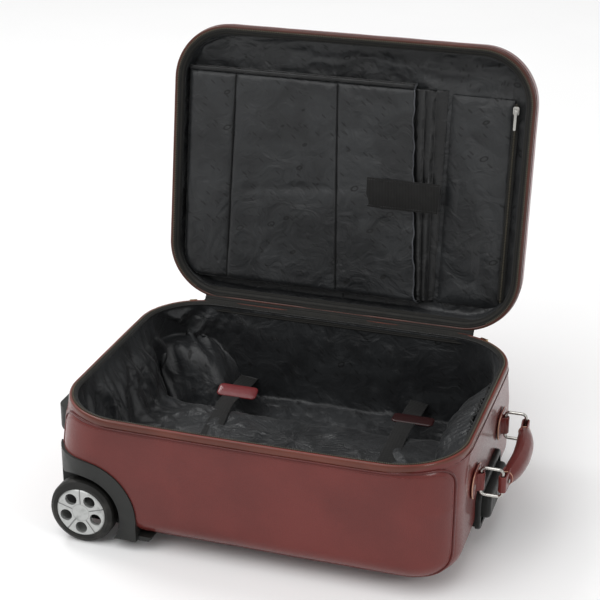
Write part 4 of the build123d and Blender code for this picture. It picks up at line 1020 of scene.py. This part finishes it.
def build_side_pocket():
    """Gathered pocket with an elastic mouth on the handle end."""
    low, high = box_mm("side_pocket")
    columns, rows = 150, 40
    y = np.linspace(low[1], high[1], columns)
    share = np.linspace(0, 1, rows)
    across, down = np.meshgrid(y, share)
    side = np.abs(across) / high[1]
    swell = np.sin(np.pi / 2 * np.clip(down / 0.6, 0, 1))
    belly = 3.0 + 42.0 * swell * (1 - 0.3 * smoothstep(down, 0.65, 1.0))
    stand = belly * (1 - side ** 4)
    top = high[2] + 12.0 - 8.0 * side ** 2
    points = np.stack([high[0] - stand, across, top - down * (top - low[2])], -1)
    gather = folds(np.stack([across, down * 70, 0 * down], -1), 13, 9, (1.0, 6.0, 1.0))
    points[..., 0] -= gather * (2.4 - 1.2 * down) * (1 - side ** 4)
    points[..., 0] -= 2.2 * soft_noise(points, 24, 8)
    skin = Skin(points, share * (high[2] - low[2]), y - y[0], wrap=False)
    pocket = skin.piece(
        "side_pocket_cloth", "case", "lining", replaces=("side_pocket",),
    )
    thicken(pocket, POCKET_THICK, 0.0)
    mouth = points[0] + (0, 0, 0.6)
    sweep(
        "side_pocket_elastic", mouth, circle(2.0, 10) * (1.7, 0.8), (0, 0, 1), "case", "plain_lining",
    )
    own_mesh(pocket)
    return pocket


side_pocket = build_side_pocket()


# ---- lid: leather shell and rim -------------------------------------------------------------
def lid_space(x, v, h):
    """Points of the lid: x along it, v up it from the hinge, h towards the inside."""
    x, v, h = np.broadcast_arrays(*(np.asarray(a, float)[..., None] for a in (x, v, h)))
    return HINGE + x * (1.0, 0.0, 0.0) + v * LID_UP - h * LID_OUT


def lid_ring(inset=0.0):
    """Outline of the lid at an inset, as (x, v)."""
    bow_x, bow_y = LID_BOW
    length, width = LID_LENGTH - 2 * bow_x - 2 * inset, LID_WIDTH - 2 * bow_y - 2 * inset
    ring = outline(length, width, LID_CORNER - inset, LID_BOW)
    return ring + (0.0, LID_MID)


def lid_row(ring, h):
    return lid_space(ring[:, 0], ring[:, 1], h)


LID_U = running_length(lid_ring())


def build_lid_shell():
    """Leather back of the lid: padded panel inside a piped edge."""
    rows, depth = [], []
    side_depth = LID_DEPTH - LID_ROUND
    for h in np.linspace(-1.0, -side_depth, 14, endpoint=False):
        rows.append(lid_row(lid_ring(), h))
        depth.append(-h)
    for angle in np.radians(np.linspace(0, 90, 12)):
        inset = LID_ROUND * (1 - math.cos(angle))
        rows.append(lid_row(lid_ring(inset), -side_depth - LID_ROUND * math.sin(angle)))
        depth.append(side_depth + LID_ROUND * angle)
    middle = np.array([0.0, LID_MID])
    edge_ring = lid_ring(LID_ROUND)
    for share in np.linspace(0.97, 0.02, 60):
        rows.append(lid_row((edge_ring - middle) * share + middle, -LID_DEPTH))
        depth.append(depth[len(rows) - 2] + 4.0)
    skin = Skin(rows, depth, LID_U)
    t = np.meshgrid(skin.u, skin.t)[1]
    edge_t = side_depth + LID_ROUND * math.pi / 4
    panel_t = edge_t + 52.0
    puff = 0.4 * soft_noise(skin.points, 60, 11) + 0.25 * soft_noise(skin.points, 24, 12)
    puff -= 0.9 * np.exp(-((t - edge_t) / 2.4) ** 2)
    puff += 1.6 * smoothstep(t, edge_t, edge_t + 22) - 1.6 * np.exp(-((t - panel_t) / 3.2) ** 2)
    puff *= smoothstep(t, 2, 10)
    puff += 2.2 * smoothstep(t, panel_t, panel_t + 50)
    skin.lift(puff)
    shell = skin.piece(
        "lid_leather", "lid", "leather", cap=True, replaces=("lid_leather_cover",),
    )
    thicken(shell, LEATHER_THICK)
    for name, line_t in (("edge", edge_t), ("panel", panel_t)):
        line, normal = skin.at(LID_U, np.full(len(LID_U), line_t), 0.5)
        sweep(f"lid_piping_{name}", line, circle(PIPING_RADIUS), normal, "lid", "piping", closed=True)
        line, normal = skin.at(LID_U, np.full(len(LID_U), line_t + 6.0))
        studs(
            f"lid_stitching_{name}", line, normal, STITCH_PITCH, STITCH, "lid", "thread", closed=True,
            sink=0.2,
        )
    return shell


def build_lid_rim():
    """Leather band, zipper tape and teeth round the lid's open edge."""
    ring = lid_ring()
    path = lid_row(ring, 0.0)
    flat_normal = normals_of(ring)
    outward = flat_normal[:, :1] * (1.0, 0.0, 0.0) + flat_normal[:, 1:2] * LID_UP
    band = [
        (-3.0, -1.2), (-2.0, -0.5), (-0.4, -0.6), (0.5, -1.6), (0.9, -3.4), (0.9, -6.4), (0.3, -8.2),
        (-1.5, -8.0),
    ]
    mesh = []
    for a, h in band:
        mesh.append(path + outward * a - LID_OUT * h)
    rows = np.array(mesh + [mesh[0]])
    skin = Skin(rows, np.linspace(0, 24, len(rows)), LID_U)
    skin.piece("lid_rim_band", "lid", "lid_band")
    seam = path + outward * 0.6 + LID_OUT * 8.2
    sweep("lid_band_seam", seam, circle(SEAM_RADIUS, 8), outward, "lid", "piping", closed=True)
    flange = [
        (-2.4, -1.4), (-6.0, -1.2), (-12.5, -5.0), (-12.0, -6.2), (-6.0, -2.6), (-2.4, -2.6),
        (-2.4, -1.4),
    ]
    rows = np.array([path + outward * a - LID_OUT * h for a, h in flange])
    skin = Skin(rows, np.linspace(0, 24, len(rows)), LID_U)
    skin.piece("lid_zip_tape", "lid", "tape", replaces=("lid_zipper_tape",))
    open_part = (np.abs(ring[:, 0]) > HINGE_ZIP_END) | (ring[:, 1] > LID_MID)
    order = kept_run(open_part)
    coil = (path - outward * 3.8 + LID_OUT * 1.4)[order]
    up = np.broadcast_to(-LID_OUT, coil.shape)
    studs("lid_zip_teeth", coil, up, TOOTH_PITCH, (1.5, 2.6, 1.1), "lid", "teeth")


lid_cover = build_lid_shell()
build_lid_rim()


def build_lid_lining():
    """Lining of the lid: slack walls and floor, drawn tight behind the pockets."""
    rows = []
    for share in np.linspace(0, 1, 20):
        inset = 11.0 - 2.5 * math.sin(math.pi * share) + 3.0 * share
        rows.append(lid_row(lid_ring(inset), -4.6 + (LID_FLOOR + 4.6) * share))
    middle = np.array([0.0, LID_MID])
    last = lid_ring(14.0)
    for share in np.linspace(1, 0.015, 64)[1:]:
        rows.append(lid_row((last - middle) * share + middle, LID_FLOOR))
    points = np.array(rows)
    relax(points, 5)
    skin = Skin(points, row_depths(points), LID_U)
    t = np.meshgrid(skin.u, skin.t)[1]
    local = points - HINGE
    v = local @ LID_UP
    upper = smoothstep(v, 300, 345)
    slack = folds(points, 46, 21, (1.6, 1.0, 0.8)) + 0.5 * folds(points, 20, 22, (1.8, 1.0, 0.8))
    lift = -slack * (0.7 + 1.6 * upper) * smoothstep(t, 2, 16)
    skin.lift(np.minimum(lift, 1.4))
    lining = skin.piece(
        "lid_lining_cloth", "lid", "lining", cap=True, replaces=("lid_lining",),
    )
    return thicken(lining, CLOTH_THICK, 1.0)


lid_cloth = build_lid_lining()


# ---- lid: pockets ---------------------------------------------------------------------------
def lid_field(name, x, v, height, finish, thick=1.0, **rest):
    """Sheet over the lid's floor: x and v are grids of places, height is how far it stands at each."""
    points = lid_space(x, v, height)
    skin = Skin(points, v[:, 0] - v[0, 0], x[0] - x[0, 0], wrap=False)
    return thicken(skin.piece(name, "lid", finish, **rest), thick, 0.0)


def inside_lid(x, v, margin=13.0):
    """Places kept inside the lid's round corners by margin."""
    limit, corner_x = LID_CORNER - margin, LID_LENGTH / 2 - LID_CORNER
    for corner_v, way in ((LID_START + LID_CORNER, -1), (LID_START + LID_WIDTH - LID_CORNER, 1)):
        past_x = np.sign(x) * np.maximum(np.abs(x) - corner_x, 0)
        past_v = way * np.maximum(way * (v - corner_v), 0)
        shrink = np.minimum(1, limit / np.maximum(np.hypot(past_x, past_v), 1e-9))
        x, v = x - past_x * (1 - shrink), v - past_v * (1 - shrink)
    return x, v


def lid_corner(points_low, points_high, axis):
    """Range of a box of lid points along one of the lid's axes."""
    ends = [float((p - HINGE) @ axis) for p in (points_low, points_high)]
    return min(ends), max(ends)


ORGANISER_X, ORGANISER_V, ORGANISER_FACE = (-234.0, 104.0), (24.0, 318.0), -13.0
MOUTH_TOP_X, MOUTH_LOW_X = 83.0, 104.0


def seam_x(which, v):
    """Where the organiser's two long seams run, a little slanted."""
    share = (v - ORGANISER_V[0]) / (ORGANISER_V[1] - ORGANISER_V[0])
    return (-166.0 + 3.0 * share) if which == 0 else (-8.0 - 13.0 * share)


def build_organiser():
    """Large open pocket: its face is sewn in three panels and its mouth is on the right."""
    columns, rows = 170, 150
    share_x, share_v = np.meshgrid(np.linspace(0, 1, columns), np.linspace(0, 1, rows))
    v = ORGANISER_V[0] + share_v * (ORGANISER_V[1] - ORGANISER_V[0])
    mouth = MOUTH_LOW_X + (MOUTH_TOP_X - MOUTH_LOW_X) * share_v ** 0.8
    x = ORGANISER_X[0] + share_x * (mouth - ORGANISER_X[0])
    from_edge = np.minimum(np.minimum(v - ORGANISER_V[0], ORGANISER_V[1] - v), x - ORGANISER_X[0])
    stand = ORGANISER_FACE - LID_FLOOR
    side = 1 - np.exp(-(np.maximum(from_edge, 0) / 3.2) ** 1.3)
    height = LID_FLOOR + stand * side
    flat = np.stack([x, v, 0 * x], -1)
    puff = 1.1 * soft_noise(flat, 75, 31) - 0.8 * folds(flat, 55, 32, (1.8, 0.8, 1.0)) * 0.6
    crease = np.exp(-((v - 172 - 0.12 * (x + 20)) / 7) ** 2) * smoothstep(-np.abs(x + 70), -95, -60)
    puff -= 1.6 * crease * (1 + 0.6 * soft_noise(flat, 18, 33))
    for k in (0, 1):
        away = np.abs(x - seam_x(k, v))
        puff -= 2.8 * np.exp(-(away / 2.4) ** 2)
        puff += 0.9 * np.exp(-((away - 14) / 12) ** 2)
    puff += 1.4 * np.exp(-((mouth - x) / 9) ** 2) * np.sin(v / 13.0)
    height = height + puff * smoothstep(from_edge, 2, 14)
    x, v = inside_lid(x, v)
    organiser = lid_field(
        "organiser_face", x, v, height, "lining", 1.2, replaces=("organiser_pocket",),
    )
    seams = []
    for k in (0, 1):
        v_line = np.linspace(ORGANISER_V[0] + 8, ORGANISER_V[1] - 6, 90)
        line = lid_space(seam_x(k, v_line), v_line, ORGANISER_FACE - 0.5)
        seams.append(sweep_mesh(line, circle(SEAM_RADIUS, 8), -LID_OUT, False))
    points, faces, uv = join_mesh(seams)
    # The seam cords are near-black: real seams, whose colour also paints the shade in the seam valleys.
    mesh_piece(
        "organiser_seams", points, faces, uv, "lid", "seam",
    )
    mouth_line = lid_space(x[:, -1], v[:, -1], height[:, -1])
    mouth_v = v[:, -1]
    wave_x = np.sin(mouth_v / 9.0) * 0.7 + 0.5 * np.sin(mouth_v / 3.7)
    wobble = np.stack([wave_x, 0 * mouth_v, 0 * mouth_v], -1)
    # The mouth binding takes the lighter satin: a painted sheen line along the mouth.
    sweep(
        "organiser_mouth_binding", mouth_line + wobble, circle(1.0, 8) * (1.6, 1.0), -LID_OUT, "lid",
        "bright_edge",
    )
    top_v = np.full(60, ORGANISER_V[1] - 1.2)
    top_line = lid_space(np.linspace(ORGANISER_X[0] + 4, MOUTH_TOP_X, 60), top_v, ORGANISER_FACE - 1.4)
    sweep(
        "organiser_top_binding", top_line, circle(1.4, 8) * (1.0, 2.2), -LID_OUT, "lid", "plain_lining",
    )
    return organiser


def build_bellows():
    """Pleated side of the organiser between its face and the lid's floor."""
    rows, columns = 120, 60
    share_x, share_v = np.meshgrid(np.linspace(0, 1, columns), np.linspace(0, 1, rows))
    v = ORGANISER_V[0] + 3 + share_v * (ORGANISER_V[1] - ORGANISER_V[0] - 8)
    mouth = MOUTH_LOW_X + (MOUTH_TOP_X - MOUTH_LOW_X) * share_v ** 0.8
    x = mouth - 3 + share_x * (128.0 - mouth)
    fall = (ORGANISER_FACE - 3.0 - LID_FLOOR) * (1 - smoothstep(share_x, 0.0, 0.95))
    pleat = 3.4 * np.abs(np.sin(share_x * math.pi * 3)) * np.sin(math.pi * share_x)
    height = LID_FLOOR + 0.8 + fall * 0.55 + pleat + 0.8 * soft_noise(np.stack([x, v, 0 * x], -1), 22, 35)
    return lid_field(
        "organiser_bellows", x, v, height, "plain_lining", 0.9, replaces=("tab_gusset",),
    )


def build_zip_pocket():
    """Flat zipped pocket beside the organiser, its zipper along the right edge."""
    columns, rows = 80, 170
    x_range, v_range = (131.0, 214.0), (27.0, 309.0)
    x, v = np.meshgrid(np.linspace(*x_range, columns), np.linspace(*v_range, rows))
    from_edge = np.minimum(
        np.minimum(x - x_range[0], x_range[1] - x + 3), np.minimum(v - v_range[0], v_range[1] - v),
    )
    flat = np.stack([x, v, 0 * x], -1)
    side = 1 - np.exp(-np.maximum(from_edge, 0) / 7)
    creases = 1.5 * soft_noise(flat, 42, 41, (0.8, 1.4, 1)) - 0.9 * folds(flat, 36, 42, (1, 1.7, 1))
    puff = 5.2 * side + creases * side
    x, v = inside_lid(x, v)
    pocket = lid_field(
        "zip_pocket_cloth", x, v, LID_FLOOR + 0.6 + np.maximum(puff, 0.3), "lining", 0.9,
        replaces=("zip_pocket",),
    )
    low, high = box_mm("pocket_zipper")
    v_low, v_high = lid_corner(low, high, LID_UP)
    zip_x = (low[0] + high[0]) / 2
    zip_h = -27.0
    v_line = np.linspace(v_low, v_high, 80)
    line = lid_space(zip_x, v_line, zip_h)
    sweep(
        "pocket_zip_tape", line, flat_section(8.6, 1.1), (1, 0, 0), "lid", "tape",
        replaces=("pocket_zipper",),
    )
    up = np.broadcast_to(-LID_OUT, line.shape)
    studs("pocket_zip_teeth", line - LID_OUT * 0.4, up, 2.0, (1.2, 2.8, 0.9), "lid", "teeth")
    return pocket


def build_velcro_tab():
    """Closing tab of the organiser: soft loop tape with a bound, stitched edge."""
    low, high = box_mm("velcro_tab")
    middle_v = 172.0
    x = np.linspace(high[0] - 0.5, low[0] + 1.0, 60)
    lift = -12.0 + 0.9 * np.sin(np.linspace(0, math.pi, 60)) + 0.35 * np.sin(x / 7)
    path = lid_space(x, middle_v + 0 * x, lift)
    sweep(
        "closing_tab", path, flat_section(40.0, 1.7), LID_UP, "velcro_flap", "velcro",
        replaces=("velcro_tab",),
    )
    for k, offset in enumerate((-17.2, 17.2)):
        edge = path + LID_UP * offset - LID_OUT * 0.8
        up = np.broadcast_to(-LID_OUT, edge.shape)
        studs(
            f"closing_tab_stitch_{k}", edge, up, 3.0, (2.1, 0.5, 0.35), "velcro_flap", "black_thread",
        )


organiser_face = build_organiser()
bellows = build_bellows()
zip_pocket = build_zip_pocket()
build_velcro_tab()


# ---- hinge gusset ---------------------------------------------------------------------------
def build_hinge_gusset():
    """Pleated cloth hinge from the tub's far rim up into the lid."""
    columns = 150
    x = np.linspace(-190, 190, columns)
    tub_side = [(-11.5, -13.0), (-10.5, -6.0), (-8.0, -2.0), (-5.0, -0.6), (-2.4, -0.6)]
    section = [np.array([0.0, HINGE[1] + a, HINGE[2] + b]) for a, b in tub_side]
    for v, h in ((1.2, 0.4), (4.0, -0.2), (7.0, -1.6), (11.0, -4.2), (13.5, -8.0), (14.5, -13.0)):
        section.append(HINGE * (0, 1, 1) + v * LID_UP - h * LID_OUT)
    section = np.array(section)
    length = running_length(section)
    fine = np.linspace(0, length[-1], 46)
    curve = np.stack([np.interp(fine, length, section[:, k]) for k in range(3)], -1)
    for _ in range(3):
        curve[1:-1] = (curve[:-2] + 2 * curve[1:-1] + curve[2:]) / 4
    along = np.gradient(curve, axis=0)
    normal = np.cross(along, (1.0, 0.0, 0.0))
    normal /= np.linalg.norm(normal, axis=1, keepdims=True)
    ridge = 0.9 * np.abs(np.sin(fine / length[-1] * math.pi * 6)) * np.sin(math.pi * fine / length[-1])
    points = curve[:, None] + np.stack([x, 0 * x, 0 * x], -1)[None]
    u, t = np.meshgrid(x, fine)
    ripple = soft_noise(np.stack([u, t, 0 * u], -1), 22, 51, (2.2, 1, 1))
    wave = 0.5 * ripple * np.sin(math.pi * t / length[-1])
    points = points + normal[:, None] * (ridge[:, None, None] + wave[..., None])
    skin = Skin(points, fine, x - x[0], wrap=False)
    gusset = skin.piece(
        "hinge_gusset", None, "tape", replaces=("hinge_welt",), slot="lining_fabric",
    )
    thicken(gusset, CLOTH_THICK, 0.0)
    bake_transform(gusset)
    return gusset


hinge_gusset = build_hinge_gusset()


# ---- carry handle -----------------------------------------------------------------------------
ring_low, ring_high = box_mm("handle_ring_near")
RING_Y, RING_Z = 75.0, (ring_low[2] + ring_high[2]) / 2
RING_INNER_X, RING_OUTER_X = ring_low[0] + 2.0, ring_high[0] - 2.0


def loop_path(bar_x, bar_y, tail, spread=3.2, wrap=3.9):
    """Path of a strap from its two tail points round a bar, level at the ring's height."""
    away = np.array([bar_x, bar_y]) - np.array(tail)
    away = away / np.linalg.norm(away)
    side = np.array([-away[1], away[0]])
    first = math.atan2(side[1], side[0])
    turn = [np.array([bar_x, bar_y]) + wrap * np.array([math.cos(a), math.sin(a)])
            for a in np.linspace(first, first - math.pi, 18)]
    start = np.array(tail) + side * spread
    finish = np.array(tail) - side * spread
    run_in = [start + (turn[0] - start) * s for s in np.linspace(0, 1, 8)[:-1]]
    run_out = [turn[-1] + (finish - turn[-1]) * s for s in np.linspace(0, 1, 8)[1:]]
    return np.array([(*p, RING_Z) for p in (*run_in, *turn, *run_out)])


def build_carry_handle():
    """Padded leather roll, with a folded leather loop round each ring."""
    half = 60.0
    y = np.linspace(-half, half, 110)
    bow = 286.0 + 7.5 * (1 - (y / half) ** 2)
    path = np.stack([bow, y, np.full(len(y), RING_Z)], -1)
    taper = 1 - 0.34 * np.abs(y / half) ** 3
    angle = np.linspace(0, 2 * math.pi, 40, endpoint=False)
    overlap = 0.75 * (angle / (2 * math.pi)) ** 3
    section = np.stack([np.cos(angle) * (13.0 + overlap), np.sin(angle) * (11.2 + overlap)], -1)
    steps = np.linspace(0, 1, len(y))
    wrinkle = 0.35 * np.array([[noise.noise((s * 9, a * 2.2, 7.7)) for a in angle] for s in steps])
    profile = section[None] * taper[:, None, None] * (1 + wrinkle[..., None] * 0.07)
    roll = sweep(
        "carry_roll", path, profile, (0, 0, 1), "carry_handle", "leather", replaces=("carry_grip",),
    )
    for k, index in enumerate((0, len(y) - 1)):
        ring = np.stack([
            np.full(40, path[index, 0]) - profile[index][:, 1], np.full(40, path[index, 1]),
            RING_Z + profile[index][:, 0],
        ], -1)
        sweep(f"carry_roll_edge_{k}", ring, circle(0.75, 8), (0, 1, 0), "carry_handle", "cut_edge",
              closed=True)
    under = path + np.stack([-8.4 * taper, 0 * y, -4.0 * taper], -1)
    up = np.broadcast_to([-1.0, 0.0, -0.4], under.shape)
    studs("carry_roll_stitching", under[6:-6], up[6:-6], 3.6, (2.6, 0.7, 0.6), "carry_handle", "thread")
    for k, side in enumerate((-1, 1)):
        outer = loop_path(RING_OUTER_X, side * RING_Y, (286.2, side * (half - 9)), 3.4)
        sweep(f"handle_loop_{k}", outer, flat_section(21.0, 2.2), (0, 0, 1), "carry_handle", "leather")
        rivet_y = side * (half + 6)
        for face, height in enumerate((1, -1)):
            centre = np.array([RING_OUTER_X + 1.0 + height * 5.2, rivet_y, RING_Z])
            dome(f"handle_rivet_{k}_{face}", centre, (height, 0, 0), 2.9, 1.3, "carry_handle", "nickel")
    return roll


def dome(name, centre, direction, radius, high, body, finish):
    """Round rivet head."""
    direction = np.array(direction, float)
    first = np.array([0.0, 0.0, 1.0])
    second = np.cross(direction, first)
    rows = []
    for share in np.linspace(0, 1, 8):
        a = share * math.pi / 2
        r, h = radius * math.cos(a), high * math.sin(a)
        ring = [centre + direction * h + r * (math.cos(b) * first + math.sin(b) * second)
                for b in np.linspace(0, 2 * math.pi, 24, endpoint=False)]
        rows.append(ring)
    rows = np.array(rows)
    rows[-1] = rows[-1].mean(axis=0) + (rows[-2] - rows[-2].mean(axis=0)) * 0.15
    faces = grid_faces(len(rows), 24, True)
    caps = end_caps(len(rows), 24)
    return mesh_piece(
        name, rows.reshape(-1, 3), [*faces.tolist(), *caps], rows.reshape(-1, 3)[:, :2], body, finish,
        solid=True, slot="nickel",
    )


def build_chapes():
    """Leather patches on the end face, each holding a ring in a folded loop."""
    face_x = BODY_LENGTH / 2 + 0.9
    for k, side in enumerate((-1, 1)):
        origin = np.array([face_x, side * (RING_Y + 2), RING_Z])
        line, up = plate(
            f"chape_patch_{k}", origin, (0, 1, 0), (0, 0, 1), (52.0, 36.0), 17.0, 2.4, 0.7, "case",
            "leather", replaces=("handle_chapes",) if k == 0 else (),
        )
        studs(
            f"chape_stitching_{k}", line, up, SMALL_PITCH, SMALL_STITCH, "case", "thread", closed=True,
            sink=0.15,
        )
        ring = line + (line - line.mean(axis=0)) * 0.13 + (-0.9, 0, 0)
        sweep(f"chape_cut_edge_{k}", ring, circle(0.8, 8), (1, 0, 0), "case", "cut_edge", closed=True)
        loop = loop_path(RING_INNER_X, side * RING_Y, (face_x + 0.5, side * RING_Y), 6.5)
        sweep(f"chape_loop_{k}", loop, flat_section(23.0, 2.2), (0, 0, 1), "case", "leather")


carry_roll = build_carry_handle()
build_chapes()


# ---- button spring ------------------------------------------------------------------------------
def build_button_spring():
    """Coil behind the grip's button, built at its rest length; pressing the button would shorten it."""
    low, high = box_mm("button_spring")
    wire, turns, steps = 0.4, 5, 160
    radius = (high[1] - low[1]) / 2 - wire
    middle = (low + high) / 2
    share = np.linspace(0, 1, steps)
    angle = share * turns * 2 * math.pi
    path = np.stack([
        low[0] + wire + share * (high[0] - low[0] - 2 * wire), middle[1] + radius * np.cos(angle),
        middle[2] + radius * np.sin(angle),
    ], -1)
    spring = sweep(
        "spring_coil", path, circle(wire, 8), (1, 0, 0), "handle_inner", "steel",
        replaces=("button_spring",),
    )
    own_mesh(spring)


build_button_spring()


# ---- floor and light ---------------------------------------------------------------------------
def build_studio():
    """Pale floor and soft studio light."""
    size, centre = 40.0, Vector(MIDDLE * MM)
    data = bpy.data.meshes.new("floor")
    square = ((-1, -1), (1, -1), (1, 1), (-1, 1))
    corners = [(x * size + centre.x, y * size + centre.y, -0.0005) for x, y in square]
    data.from_pydata(corners, [], [(0, 1, 2, 3)])
    floor = bpy.data.objects.new("floor", data)
    bpy.context.scene.collection.objects.link(floor)
    paper = Finish("pale_floor", Specular_IOR_Level=0.2)
    tone = paper.blend_colour(paper.noise(3.0, 2.0), (0.90, 0.90, 0.90), (0.93, 0.93, 0.93))
    shine = paper.ramp(paper.noise(8.0), 0, 1, (0.85, 0.95))
    data.materials.append(paper.finish(tone, shine, paper.noise(300.0), 0.02))
    world = bpy.data.worlds.new("studio")
    world.use_nodes = True
    sky = world.node_tree.nodes["Background"]
    sky.inputs["Color"].default_value = (1.0, 1.0, 1.0, 1.0)
    sky.inputs["Strength"].default_value = 0.56
    bpy.context.scene.world = world
    target = centre + Vector((0, 0, 0.2))
    lamps = (                   # name, kind, place in metres, strength
        ("sun", "SUN", (-1.6, -2.2, 4.6), 1.55),
        ("window", "AREA", (-1.5, 0.6, 2.0), 16.0),
        ("side", "AREA", (2.4, -1.2, 1.6), 12.0),
    )
    for name, kind, place, power in lamps:
        light = bpy.data.lights.new(name, kind)
        light.energy = power
        if kind == "SUN":
            light.angle = math.radians(60)
        else:
            light.shape, light.size = "DISK", 0.8
        lamp = bpy.data.objects.new(name, light)
        bpy.context.scene.collection.objects.link(lamp)
        lamp.location = centre + Vector(place)
        lamp.rotation_mode = "QUATERNION"
        lamp.rotation_quaternion = (target - lamp.location).to_track_quat("-Z", "Y")
    bpy.context.scene.view_settings.view_transform = "Standard"


build_studio()
